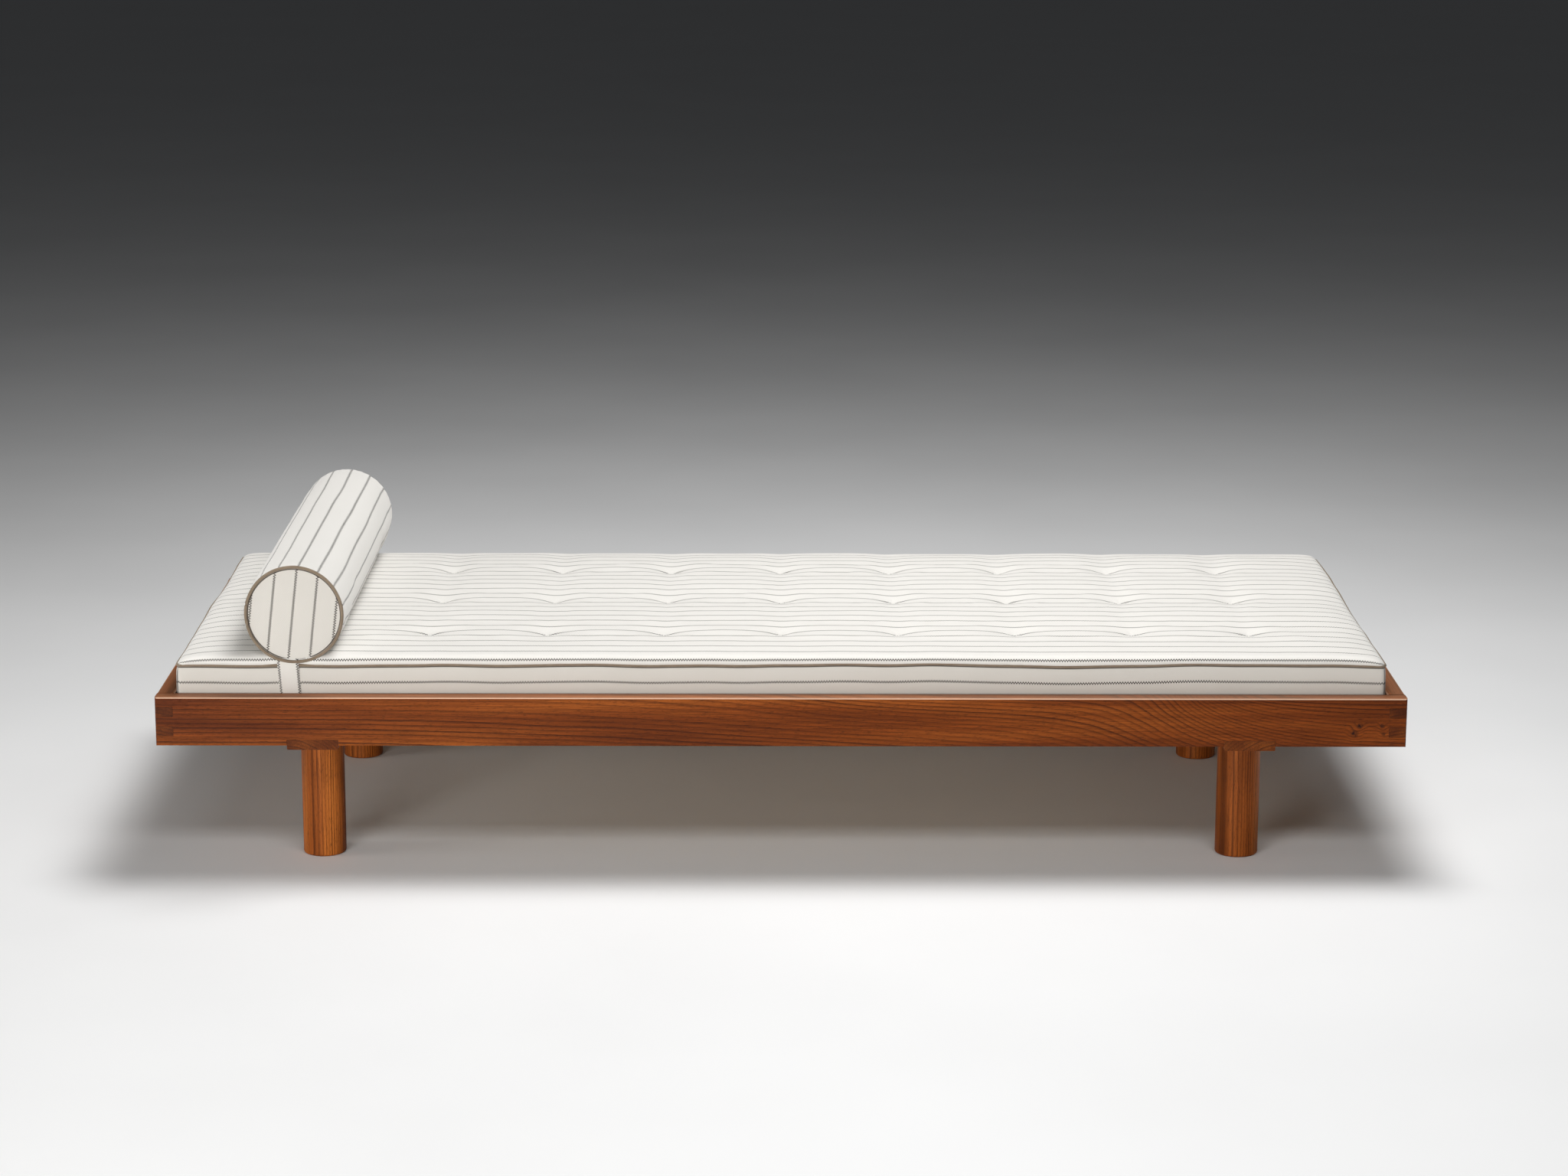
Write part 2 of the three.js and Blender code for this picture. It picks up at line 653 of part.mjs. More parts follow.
function bolsterGroup() {
  const group = new THREE.Group();
  group.position.x = BOLSTER.x;
  group.add(piece("bolster", bolster(), TICKING), piece("bolster_strap", strap(), TICKING));
  for (const [name, side] of FRAME_SIDES) {
    group.add(piece(`bolster_piping_${name}`, bolsterPiping(side), PIPING));
  }
  return group;
}

const daybed = new THREE.Group();
daybed.add(frameGroup(), baseGroup(), mattressGroup(), bolsterGroup());

export default daybed;
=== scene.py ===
import math

import bpy
import numpy as np
from mathutils import Matrix, Vector, noise


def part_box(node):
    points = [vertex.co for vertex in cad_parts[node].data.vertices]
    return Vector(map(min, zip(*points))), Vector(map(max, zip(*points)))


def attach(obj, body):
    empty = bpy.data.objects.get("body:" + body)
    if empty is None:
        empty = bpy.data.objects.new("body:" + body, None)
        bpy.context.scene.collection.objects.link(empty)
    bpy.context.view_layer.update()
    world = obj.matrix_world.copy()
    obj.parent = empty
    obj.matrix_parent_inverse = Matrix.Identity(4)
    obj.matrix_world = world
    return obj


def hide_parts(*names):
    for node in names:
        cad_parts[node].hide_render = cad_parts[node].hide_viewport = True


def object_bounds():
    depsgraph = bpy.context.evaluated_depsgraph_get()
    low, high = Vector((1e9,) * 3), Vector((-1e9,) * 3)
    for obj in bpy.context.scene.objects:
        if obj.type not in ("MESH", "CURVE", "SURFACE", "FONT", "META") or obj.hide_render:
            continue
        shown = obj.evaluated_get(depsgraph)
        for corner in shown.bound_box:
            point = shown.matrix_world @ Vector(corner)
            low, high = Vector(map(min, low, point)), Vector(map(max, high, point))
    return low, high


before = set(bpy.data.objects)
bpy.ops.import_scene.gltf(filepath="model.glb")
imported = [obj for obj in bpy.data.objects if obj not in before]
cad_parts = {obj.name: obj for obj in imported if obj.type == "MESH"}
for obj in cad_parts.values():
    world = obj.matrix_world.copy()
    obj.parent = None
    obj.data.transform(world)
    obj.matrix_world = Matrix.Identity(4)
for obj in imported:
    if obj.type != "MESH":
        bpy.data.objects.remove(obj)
cad_low, cad_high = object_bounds()

MM = 0.001

# Camera, in metres and degrees
CAMERA_PLACE = (-0.0252, -6.1034, 1.8004)
CAMERA_YAW = -0.2885
CAMERA_PITCH = 13.1334
CAMERA_ROLL = -0.1474
CAMERA_LENS = 84.51
SENSOR = 36.0

# Ticking, in metres
STRIPE_PITCH = 233 / 7 * MM
ZIGZAG_PERIOD = 4.2 * MM
ZIGZAG_HEIGHT = 3.3 * MM
ZIGZAG_LINE = (0.95 * MM, 1.25 * MM)
TWILL = 2.1 * MM

# Mattress, in metres
PIPING_RADIUS = 2.5 * MM
CORNER_RADIUS = 8 * MM
TUFT_PITCH = (192 * MM, 233 * MM)
TUFT_COUNT = (9, 3)
TUFT_DEPTH = 10.4 * MM
TUFT_REACH = 27 * MM
TUFT_FOLD = 26 * MM
ROW_END = 262 * MM
ROW_VALLEY = 2.6 * MM
COLUMN_VALLEY = 3.4 * MM
EDGE_HEIGHT = 19.6 * MM
BACK_FALL = 16.5 * MM
BACK_REACH = 45 * MM
TOP_TILT = 0.2 * MM
SEAM_HOLD = 12 * MM
STRIPE_DROP = 28.0 * MM
LINES_PER_PITCH = (28, 34)
LINES_IN_MARGIN = (26, 26)
GRADING = 0.75
# Top panel at its seams: inward offset and height, in millimetres
SIDE_PROFILE = (
    (0, 0), (-3.0, 2.0), (-5.0, 5.0), (-5.6, 8.5), (-5.0, 12.0), (-2.2, 15.4), (4, 17.6),
    (13, 18.6), (25, 19.2), (45, 20.1), (70, 20.8), (100, 21.0),
)
END_PROFILE = (
    (0, 0), (0.6, 2.4), (2.4, 5.2), (6, 8.2), (12, 11.6), (22, 15.0),
    (38, 18.2), (62, 20.2), (100, 21.0),
)
# Mattress side: share of the way down, and bulge in millimetres
BOXING_ROWS = (
    (0.0, 0.0), (0.035, -0.4), (0.06, 0.1), (0.09, 0.9), (0.14, 1.4), (0.22, 1.8), (0.34, 2.0),
    (0.5, 2.1), (0.66, 2.0), (0.78, 1.8), (0.86, 1.4), (0.91, 0.9), (0.94, 0.1), (0.965, -0.4),
    (1.0, 0.0),
)
# Lower edge: inset and drop, in millimetres
UNDERSIDE_ROWS = ((1.2, 2.4), (4.0, 3.5), (14.0, 3.5))
PIPING_STEP = 4.5 * MM
PIPING_SIDES = 12

# Cloth simulation, in Blender's units
SIMULATED_FRAMES = 20
FABRIC = {
    "quality": 6, "mass": 0.25, "tension_stiffness": 18.0, "compression_stiffness": 18.0,
    "shear_stiffness": 6.0, "bending_stiffness": 0.4, "shrink_min": -0.012, "use_pressure": True,
}
TRIAL_STEPS = (16, 20)
PANEL_PRESSURE = 4.0
PANEL_FOLD = 0.9 * MM
PANEL_BLUR = (5, 5)
UNDER_BOLSTER = 75 * MM
BOLSTER_PRESSURE = 3.0
BOLSTER_FOLD = 1.0 * MM
BOLSTER_BLUR = (5, 8)
FOLD_FADE = 60 * MM

# Bolster, in metres
BOLSTER_RADIUS = 79.9 * MM
BOLSTER_OVAL = 0.006
BOLSTER_SWELL = 0.8 * MM
BOLSTER_OVERHANG = 6.0 * MM
BOLSTER_STRIPES = 15
BOLSTER_STRIPE_START = math.radians(7.4)
BOLSTER_AROUND = 120
BOLSTER_ALONG = 72
RING_STEPS = 132
DISC_RINGS = (0.985, 0.96, 0.92, 0.86, 0.76, 0.62, 0.46, 0.3, 0.15)
DISC_LEAN = math.radians(6.7)
DISC_PITCH = 34 * MM
DISC_SHIFT = -2.3 * MM


# ---- node helpers

def new_material(name):
    material = bpy.data.materials.new(name)
    material.use_nodes = True
    material.node_tree.nodes.clear()
    return material, material.node_tree


def node(tree, kind, inputs=None, **settings):
    made = tree.nodes.new("ShaderNode" + kind)
    for key, value in settings.items():
        setattr(made, key, value)
    for key, value in (inputs or {}).items():
        put(tree, value, made.inputs[key])
    return made


def put(tree, value, socket):
    if isinstance(value, bpy.types.NodeSocket):
        tree.links.new(value, socket)
    else:
        socket.default_value = value


def tree_of(*values):
    """The node tree that the first socket among the values belongs to."""
    return next(value.id_data for value in values if isinstance(value, bpy.types.NodeSocket))


def calc(operation, *values):
    tree = tree_of(*values)
    made = node(tree, "Math", operation=operation)
    for socket, value in zip(made.inputs, values):
        put(tree, value, socket)
    return made.outputs[0]


def add(*values):
    return calc("ADD", *values)


def subtract(*values):
    return calc("SUBTRACT", *values)


def multiply(*values):
    return calc("MULTIPLY", *values)


def weighted(*terms, base=0.0):
    """Sum of values, each times its weight, on top of a base."""
    for value, weight in terms:
        base = calc("MULTIPLY_ADD", value, weight, base)
    return base


def vector(x, y, z):
    return node(tree_of(x), "CombineXYZ", {"X": x, "Y": y, "Z": z}).outputs[0]


def noise_value(place, scale, detail, roughness=0.5):
    inputs = {"Vector": place, "Scale": scale, "Detail": detail, "Roughness": roughness}
    return node(tree_of(place), "TexNoise", inputs).outputs["Fac"]


def remap(value, low, high, to_low=0.0, to_high=1.0, kind="SMOOTHSTEP"):
    inputs = {"Value": value, "From Min": low, "From Max": high, "To Min": to_low, "To Max": to_high}
    return node(tree_of(value), "MapRange", inputs, interpolation_type=kind).outputs["Result"]


def mix(tree, factor, first, second, blend="MIX"):
    made = node(tree, "Mix", data_type="RGBA", blend_type=blend)
    put(tree, factor, made.inputs["Factor"])
    for name, value in (("A", first), ("B", second)):
        socket = next(s for s in made.inputs if s.name == name and s.type == "RGBA")
        put(tree, value, socket)
    return next(s for s in made.outputs if s.type == "RGBA")


def ramp(value, stops):
    made = node(tree_of(value), "ValToRGB", {"Fac": value})
    elements = made.color_ramp.elements
    elements[0].position, elements[0].color = stops[0]
    elements[1].position, elements[1].color = stops[-1]
    for position, colour in stops[1:-1]:
        elements.new(position).color = colour
    return made.outputs["Color"]


def rgba(r, g, b):
    return (r, g, b, 1.0)


def finish_shader(tree, colour, roughness, height, depth, **sockets):
    shader = node(tree, "BsdfPrincipled")
    put(tree, colour, shader.inputs["Base Color"])
    put(tree, roughness, shader.inputs["Roughness"])
    for name, value in sockets.items():
        shader.inputs[name.replace("_", " ")].default_value = value
    bump = node(tree, "Bump", {"Height": height, "Distance": depth, "Strength": 1.0})
    tree.links.new(bump.outputs[0], shader.inputs["Normal"])
    output = node(tree, "OutputMaterial")
    tree.links.new(shader.outputs[0], output.inputs["Surface"])


# ---- fabric materials

CLOTH_WHITE = rgba(0.835, 0.822, 0.795)
CLOTH_SHADE = rgba(0.745, 0.728, 0.69)
# Painted shade for the mattress side, the bolster ends and the strap.
PAINTED_SHADE_TINT = rgba(0.80, 0.78, 0.75)
STRIPE_INK = rgba(0.020, 0.014, 0.009)
# A dark line just inside the seams: stitching, darkened further as painted shade under the mattress piping
# and inside the bolster rings.
STITCH_AND_SHADE_INK = rgba(0.06, 0.043, 0.03)
STITCH_SHADE_PLACE = 3.4 * MM
STITCH_SHADE_WIDTH = (0.5 * MM, 1.3 * MM)
PIPING_TWILL = 1.3 * MM
TAPE_WEAVE = 1.6 * MM
PIPING_LIGHT = rgba(0.32, 0.25, 0.178)
PIPING_DARK = rgba(0.175, 0.13, 0.088)


def cloth_axes(tree):
    cloth = node(tree, "Attribute", attribute_name="cloth").outputs["Vector"]
    parts = node(tree, "SeparateXYZ", {"Vector": cloth})
    return cloth, parts.outputs["X"], parts.outputs["Y"], parts.outputs["Z"]


def twill_height(along, across, pitch):
    """Diagonal ribs crossed by a finer thread, from 0 to 1."""
    turn = 2 * math.pi / pitch
    diagonal = calc("SINE", multiply(add(along, across), turn))
    thread = calc("SINE", multiply(across, 2.3 * turn))
    return weighted((diagonal, 0.35), (thread, 0.15), base=0.5)


def thread_noise(along, across, scales, seed=0.0):
    """Uneven thread thickness, with one scale along the cloth and another across it."""
    place = vector(multiply(along, scales[0]), multiply(across, scales[1]), seed)
    return noise_value(place, 1.0, 2.0)


def zigzag_mask(along, offset):
    """1 on a thin zigzag line at offset 0, and 0 away from it."""
    half = ZIGZAG_PERIOD / 2
    ping = calc("PINGPONG", along, half)
    wave = multiply(subtract(ping, half / 2), ZIGZAG_HEIGHT / half)
    gap = calc("ABSOLUTE", subtract(offset, wave))
    return remap(gap, *ZIGZAG_LINE, 1.0, 0.0)


def nearest_stripe(across):
    turns = calc("DIVIDE", across, STRIPE_PITCH)
    rest = subtract(turns, calc("ROUND", turns))
    return multiply(rest, STRIPE_PITCH)


def ticking_material(name, edge_zigzag=False):
    """Off-white cotton twill with zigzag stripes, a dark stitch line with painted shade below the mattress
    piping and inside the bolster rings, and painted shade on the mattress side, the bolster ends and the
    strap. Cloth z above 0 is the distance from a sewn seam.
    """
    material, tree = new_material(name)
    cloth, along, across, seam = cloth_axes(tree)
    weave = twill_height(along, across, TWILL)
    slub = thread_noise(along, across, (90.0, 900.0))
    cross_slub = thread_noise(along, across, (900.0, 110.0), 3.0)
    patches = noise_value(cloth, 9.0, 3.0)
    shade = weighted((slub, 0.4), (cross_slub, 0.3), (patches, 0.3), (weave, 0.9), base=-0.45)
    colour = mix(tree, remap(shade, 0.25, 0.8, 0.85, 0.0, "LINEAR"), CLOTH_WHITE, CLOTH_SHADE)
    stripe = zigzag_mask(along, across if edge_zigzag else nearest_stripe(across))
    worn = remap(slub, 0.2, 0.6, 0.88, 1.0, "LINEAR")
    colour = mix(tree, multiply(stripe, worn), colour, STRIPE_INK)
    # Painted shade: the mattress side and the bolster ends (cloth z above 0) are darkened, and the strap
    # somewhat less.
    painted_shade_share = 0.5 if edge_zigzag else remap(seam, 0.0, 0.3 * MM, 0.0, 0.85)
    colour = mix(tree, painted_shade_share, colour, mix(tree, 1.0, colour, PAINTED_SHADE_TINT, "MULTIPLY"))
    # Stitching with painted shade: a dark line a little below the mattress's top seam and a little inside
    # each bolster ring.
    from_stitch_shade = calc("ABSOLUTE", subtract(seam, STITCH_SHADE_PLACE))
    stitch_and_shade = remap(from_stitch_shade, *STITCH_SHADE_WIDTH, 0.92, 0.0)
    colour = mix(tree, stitch_and_shade, colour, STITCH_AND_SHADE_INK)
    height = weighted((weave, 0.6), (slub, 0.4))
    rough = remap(shade, 0.2, 0.8, 0.94, 0.84, "LINEAR")
    finish_shader(tree, colour, rough, height, 0.28 * MM, Sheen_Weight=0.25, Sheen_Roughness=0.5,
                  Specular_IOR_Level=0.25)
    return material


def piping_material():
    """Taupe twill cut on the bias and wrapped round a cord."""
    material, tree = new_material("piping_twill")
    cloth, along, across, _ = cloth_axes(tree)
    weave = twill_height(along, across, PIPING_TWILL)
    worn = noise_value(cloth, 60.0, 3.0)
    tone = weighted((weave, 0.5), (worn, 0.5))
    colour = mix(tree, remap(tone, 0.3, 0.7, 0.0, 1.0, "LINEAR"), PIPING_DARK, PIPING_LIGHT)
    rough = remap(tone, 0.2, 0.8, 0.92, 0.8, "LINEAR")
    finish_shader(tree, colour, rough, weave, 0.25 * MM, Sheen_Weight=0.2, Specular_IOR_Level=0.25)
    return material


# ---- wood materials

# Painted light on the wood: a paler tint on upper faces and a painted highlight along rounded arrises.
TOP_PAINTED_LIGHT = rgba(0.80, 0.46, 0.27)
ARRIS_PAINTED_HIGHLIGHT = rgba(0.92, 0.62, 0.44)
LINE_INK = rgba(0.022, 0.006, 0.0018)
PORE_INK = rgba(0.014, 0.004, 0.0015)
KNOT_INK = rgba(0.018, 0.006, 0.003)
END_INK = rgba(0.02, 0.007, 0.003)
LATE_WOOD = ((0.0, 0.8), (0.07, 0.05), (0.42, 0.0), (0.68, 0.35), (0.85, 0.9), (1.0, 1.0))


def distance_from(place, letters, centre):
    """Distance from a centre, over the axes that the letters name."""
    squares = []
    for letter, middle in zip(letters, centre):
        offset = subtract(place.outputs[letter], middle)
        squares.append(multiply(offset, offset))
    return calc("SQRT", add(*squares))


def grain_noise(place, axis, along, across, seed, detail=3.0, roughness=0.5):
    """Noise that is drawn out along the grain, for streaks, bands and pores."""
    scales = [along if letter == axis else across for letter in "XYZ"]
    parts = [calc("MULTIPLY_ADD", place.outputs[i], scales[i], seed) for i in range(3)]
    return noise_value(vector(*parts), 1.0, detail, roughness)


def ring_step(place, centre, width, drop, top):
    """Rings that step down towards +X round a place, most steeply at the board's top edge."""
    below = subtract(top, place.outputs["Z"])
    spread = calc("MULTIPLY_ADD", below, 8.5 * width, 0.5 * width)
    offset = subtract(place.outputs["X"], centre)
    reach = calc("DIVIDE", offset, spread)
    step = calc("MULTIPLY_ADD", calc("TANH", reach), 0.5, 0.5)
    return multiply(step, drop)


def ring_wander(place, axis, seed, wobble, steps, knots):
    """How far the rings stray from true circles, with a mask for each knot."""
    drift = grain_noise(place, axis, 1.6, 9.0, seed, roughness=0.45)
    wander = weighted((drift, wobble * 2), base=-wobble)
    for step in steps:
        wander = add(wander, ring_step(place, *step))
    marks = []
    for x, z, radius in knots:
        gap = distance_from(place, "XZ", (x, z))
        marks.append(remap(gap, radius * 0.45, radius * 1.35, 1.0, 0.0))
        wander = add(wander, remap(gap, 0.0, radius * 3.2, radius * 1.6, 0.0))
    return wander, marks


def growth_lines(tree, place, axis, seed, distance, ring):
    """The dark late wood of each year's ring, stronger in some years than in others."""
    jitter = grain_noise(place, axis, 7.0, 60.0, seed + 7)
    feather = grain_noise(place, axis, 85.0, 700.0, seed + 9, 2.0, 0.6)
    turns = weighted((distance, 1 / ring), (jitter, 0.42), (feather, 0.13))
    stops = [(share, rgba(tone, tone, tone)) for share, tone in LATE_WOOD]
    late = ramp(calc("FRACT", turns), stops)
    year = calc("FLOOR", turns)
    strength = node(tree, "TexWhiteNoise", {"W": year}, noise_dimensions="1D").outputs["Value"]
    return multiply(late, remap(strength, 0.0, 1.0, 0.35, 1.0, "LINEAR"))


def end_grain_and_painted_light(tree, colour, normal, axis, end_tone):
    """Darker end grain, and painted light: paler upper faces and a painted highlight on rounded arrises.
    """
    end = remap(calc("ABSOLUTE", normal.outputs[axis]), 0.6, 0.9)
    colour = mix(tree, multiply(end, end_tone), colour, END_INK)
    up = normal.outputs["Z"]
    # Painted light: upper faces made paler.
    colour = mix(tree, remap(up, 0.5, 0.9, 0.0, 0.16), colour, TOP_PAINTED_LIGHT)
    # Painted highlight along rounded arrises, where the normal turns from the side to the top.
    arris_highlight = multiply(remap(up, 0.12, 0.4), remap(up, 0.98, 0.85))
    return mix(tree, multiply(arris_highlight, 0.65), colour, ARRIS_PAINTED_HIGHLIGHT)


def wood_material(name, axis, tones, seed, ring=5.5 * MM, centre=(0.0, -0.12), wobble=9 * MM,
                  contrast=0.75, steps=(), knots=(), end_tone=0.42, roughness=(0.36, 0.56)):
    """Oiled hardwood: growth rings, streaks along the grain, pores and darker end grain, with painted
    light on upper faces and arrises.
    """
    material, tree = new_material(name)
    light, middle, dark = (rgba(*tone) for tone in tones)
    coordinates = node(tree, "TexCoord")
    place = node(tree, "SeparateXYZ", {"Vector": coordinates.outputs["Object"]})
    normal = node(tree, "SeparateXYZ", {"Vector": coordinates.outputs["Normal"]})
    wander, marks = ring_wander(place, axis, seed, wobble, steps, knots)
    distance = add(distance_from(place, "XYZ".replace(axis, ""), centre), wander)
    lines = growth_lines(tree, place, axis, seed, distance, ring)
    streaks = grain_noise(place, axis, 9.0, 480.0, seed + 3, roughness=0.65)
    bands = grain_noise(place, axis, 1.3, 26.0, seed + 11)
    pores = grain_noise(place, axis, 120.0, 1500.0, seed + 5, 1.0)
    base = ramp(bands, ((0.33, dark), (0.5, middle), (0.68, light)))
    colour = mix(tree, multiply(lines, contrast), base, mix(tree, 0.7, dark, LINE_INK))
    fibre = remap(streaks, 0.3, 0.7, 0.68, 1.34, "LINEAR")
    colour = mix(tree, 1.0, colour, vector(fibre, fibre, fibre), "MULTIPLY")
    pore = remap(pores, 0.58, 0.7, 0.0, 0.5)
    colour = mix(tree, pore, colour, PORE_INK)
    for mask in marks:
        swirl = noise_value(coordinates.outputs["Object"], 260.0, 3.0)
        fade = multiply(mask, remap(swirl, 0.35, 0.65, 0.35, 1.0))
        colour = mix(tree, fade, colour, KNOT_INK)
    colour = end_grain_and_painted_light(tree, colour, normal, axis, end_tone)
    rough = remap(streaks, 0.3, 0.7, roughness[1], roughness[0], "LINEAR")
    height = weighted((streaks, 0.6), (pore, -0.8))
    finish_shader(tree, colour, rough, height, 0.22 * MM, Specular_IOR_Level=0.11)
    return material


def steel_material():
    """Zinc-plated steel with faint mottling and fine turned marks."""
    material, tree = new_material("zinc_steel")
    place = node(tree, "TexCoord").outputs["Object"]
    mottle = noise_value(place, 180.0, 3.0)
    marks = noise_value(place, 1400.0, 2.0)
    colour = mix(tree, mottle, rgba(0.42, 0.43, 0.45), rgba(0.66, 0.67, 0.68))
    rough = remap(marks, 0.3, 0.7, 0.28, 0.46, "LINEAR")
    finish_shader(tree, colour, rough, marks, 0.05 * MM, Metallic=1.0)
    return material


def webbing_material():
    """Plain-woven cotton tape."""
    material, tree = new_material("cotton_tape")
    place = node(tree, "SeparateXYZ", {"Vector": node(tree, "TexCoord").outputs["Object"]})
    turn = 2 * math.pi / TAPE_WEAVE
    warp = calc("SINE", multiply(place.outputs["Y"], turn))
    weft = calc("SINE", multiply(place.outputs["X"], turn))
    weave = calc("MULTIPLY_ADD", multiply(warp, weft), 0.5, 0.5)
    colour = mix(tree, weave, rgba(0.50, 0.45, 0.36), rgba(0.70, 0.65, 0.55))
    rough = remap(weave, 0.0, 1.0, 0.95, 0.85, "LINEAR")
    finish_shader(tree, colour, rough, weave, 0.3 * MM, Sheen_Weight=0.2)
    return material


# ---- mesh helpers

def make_object(name, points, faces, cloth, material):
    """A smooth mesh object. cloth is None or has a place on the fabric for each face corner."""
    mesh = bpy.data.meshes.new(name)
    mesh.from_pydata([tuple(p) for p in points], [], faces)
    mesh.materials.append(material)
    if cloth is not None:
        layer = mesh.attributes.new("cloth", "FLOAT_VECTOR", "CORNER")
        layer.data.foreach_set("vector", np.asarray(cloth, np.float32).ravel())
    mesh.polygons.foreach_set("use_smooth", [True] * len(mesh.polygons))
    mesh.update()
    made = bpy.data.objects.new(name, mesh)
    bpy.context.scene.collection.objects.link(made)
    return made


def piping_tube(name, path, material):
    """Piping round a closed path. The cloth runs along the path and round the tube."""
    points, faces, cloth = [], [], []
    radius, sides = PIPING_RADIUS, PIPING_SIDES
    count = len(path)
    lengths = [0.0]
    for i in range(1, count + 1):
        lengths.append(lengths[-1] + (path[i % count] - path[i - 1]).length)
    for i, centre in enumerate(path):
        ahead = (path[(i + 1) % count] - path[i - 1]).normalized()
        side = ahead.cross(Vector((0, 0, 1)))
        if side.length < 0.2:
            side = ahead.cross(Vector((0, 1, 0)))
        side.normalize()
        up = side.cross(ahead).normalized()
        for k in range(sides):
            turn = 2 * math.pi * k / sides
            points.append(centre + radius * (math.cos(turn) * side + math.sin(turn) * up))
    girth = 2 * math.pi * radius
    for i in range(count):
        j = (i + 1) % count
        for k in range(sides):
            m = (k + 1) % sides
            faces.append((i * sides + k, i * sides + m, j * sides + m, j * sides + k))
            low, high = girth * k / sides, girth * (k + 1) / sides
            cloth += [(lengths[i], low, 0), (lengths[i], high, 0),
                      (lengths[i + 1], high, 0), (lengths[i + 1], low, 0)]
    return make_object(name, points, faces, cloth, material)


def ripple(x, y, z, seed):
    return noise.noise(Vector((x, y, z + seed)))


# ---- cloth simulation

def settle(points, faces, pinned, pressure):
    """Runs a cloth simulation on a fabric sheet and returns how far each vertex has moved."""
    mesh = bpy.data.meshes.new("fabric_trial")
    mesh.from_pydata([tuple(p) for p in points], [], faces)
    trial = bpy.data.objects.new("fabric_trial", mesh)
    scene = bpy.context.scene
    scene.collection.objects.link(trial)
    group = trial.vertex_groups.new(name="stitch_and_shade")
    for index in np.flatnonzero(pinned):
        group.add([int(index)], float(pinned[index]), "REPLACE")
    cloth = trial.modifiers.new("cloth", "CLOTH")
    settings = cloth.settings
    for key, value in FABRIC.items():
        setattr(settings, key, value)
    settings.uniform_pressure_force = pressure
    settings.effector_weights.gravity = 0.0
    settings.vertex_group_mass = "stitch_and_shade"
    cloth.point_cache.frame_start = 1
    cloth.point_cache.frame_end = SIMULATED_FRAMES
    for number in range(1, SIMULATED_FRAMES + 1):
        scene.frame_set(number)
    settled = trial.evaluated_get(bpy.context.evaluated_depsgraph_get()).to_mesh()
    result = np.empty(3 * len(settled.vertices))
    settled.vertices.foreach_get("co", result)
    bpy.data.objects.remove(trial)
    bpy.data.meshes.remove(mesh)
    scene.frame_set(1)
    return result.reshape(-1, 3) - np.asarray(points, float)


def smoothed(field, radius, wrap):
    """Box blur over a grid of vectors, done twice in each direction."""
    for axis, reach in enumerate(radius):
        for _ in range(2):
            total = np.zeros_like(field)
            mode = "wrap" if wrap and axis == 1 else "edge"
            pad = [(0, 0)] * 3
            pad[axis] = (reach, reach)
            padded = np.pad(field, pad, mode=mode)
            for shift in range(2 * reach + 1):
                total += np.take(padded, range(shift, shift + field.shape[axis]), axis=axis)
            field = total / (2 * reach + 1)
    return field


def creases(moved, radius, limit, wrap=False):
    """The small folds of a settled sheet: what is left without its broad swelling, kept under a limit."""
    fold = smoothed(moved, (1, 1), wrap) - smoothed(moved, radius, wrap)
    size = np.linalg.norm(fold, axis=-1, keepdims=True)
    return fold * (limit * np.tanh(size / limit) / np.maximum(size, 1e-9))


def grid_faces(rows, columns, wrap=False):
    faces = []
    for i in range(rows - 1):
        for j in range(columns if wrap else columns - 1):
            k = (j + 1) % columns
            faces.append((i * columns + j, (i + 1) * columns + j, (i + 1) * columns + k, i * columns + k))
    return faces


def sample_grid(rows, columns, field, a, b):
    """Bilinear reading of a grid of vectors at the places (a, b)."""
    i = np.clip(np.searchsorted(rows, a) - 1, 0, len(rows) - 2)
    j = np.clip(np.searchsorted(columns, b) - 1, 0, len(columns) - 2)
    u = ((a - rows[i]) / (rows[i + 1] - rows[i]))[..., None]
    v = ((b - columns[j]) / (columns[j + 1] - columns[j]))[..., None]
    near = field[i, j] * (1 - v) + field[i, j + 1] * v
    far = field[i + 1, j] * (1 - v) + field[i + 1, j + 1] * v
    return near * (1 - u) + far * u


# ---- mattress shape

def middle_of(name):
    low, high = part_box(name)
    return (low + high) / 2


piping_low, piping_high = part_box("mattress_piping_top")
SEAM_Z = middle_of("mattress_piping_top").z
HALF = tuple((piping_high[i] - piping_low[i]) / 2 - PIPING_RADIUS for i in (0, 1))
LOWER_SEAM_Z = middle_of("mattress_piping_bottom").z
BOTTOM_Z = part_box("mattress")[0].z
strap_low, strap_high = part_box("bolster_strap")
STRAP_WIDTH = strap_high.x - strap_low.x
STRAP_X = middle_of("bolster_strap").x
bolster_low, bolster_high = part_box("bolster")
BOLSTER_X = middle_of("bolster").x


def profile_table(points):
    """Arc length, inward offset and height along a seam profile, sampled finely and rounded."""
    knots = np.array(points, float) * MM
    steps = np.linspace(0, len(knots) - 1, 400)
    index = np.arange(len(knots))
    curve = np.stack([np.interp(steps, index, knots[:, i]) for i in (0, 1)], 1)
    kernel = np.hanning(61)
    kernel /= kernel.sum()
    padded = np.concatenate([2 * curve[0] - curve[30:0:-1], curve, 2 * curve[-1] - curve[-2:-32:-1]])
    rounded = np.stack([np.convolve(padded[:, i], kernel, "valid") for i in (0, 1)], 1)
    rounded -= rounded[0]
    travel = np.concatenate([[0], np.cumsum(np.linalg.norm(np.diff(rounded, axis=0), axis=1))])
    return travel, rounded[:, 0], rounded[:, 1] / rounded[-1, 1]


PROFILES = (profile_table(END_PROFILE), profile_table(SIDE_PROFILE))


def slack(axis):
    travel, offset, _ = PROFILES[axis]
    return travel[-1] - offset[-1]


CLOTH_HALF = tuple(HALF[i] + slack(i) for i in (0, 1))


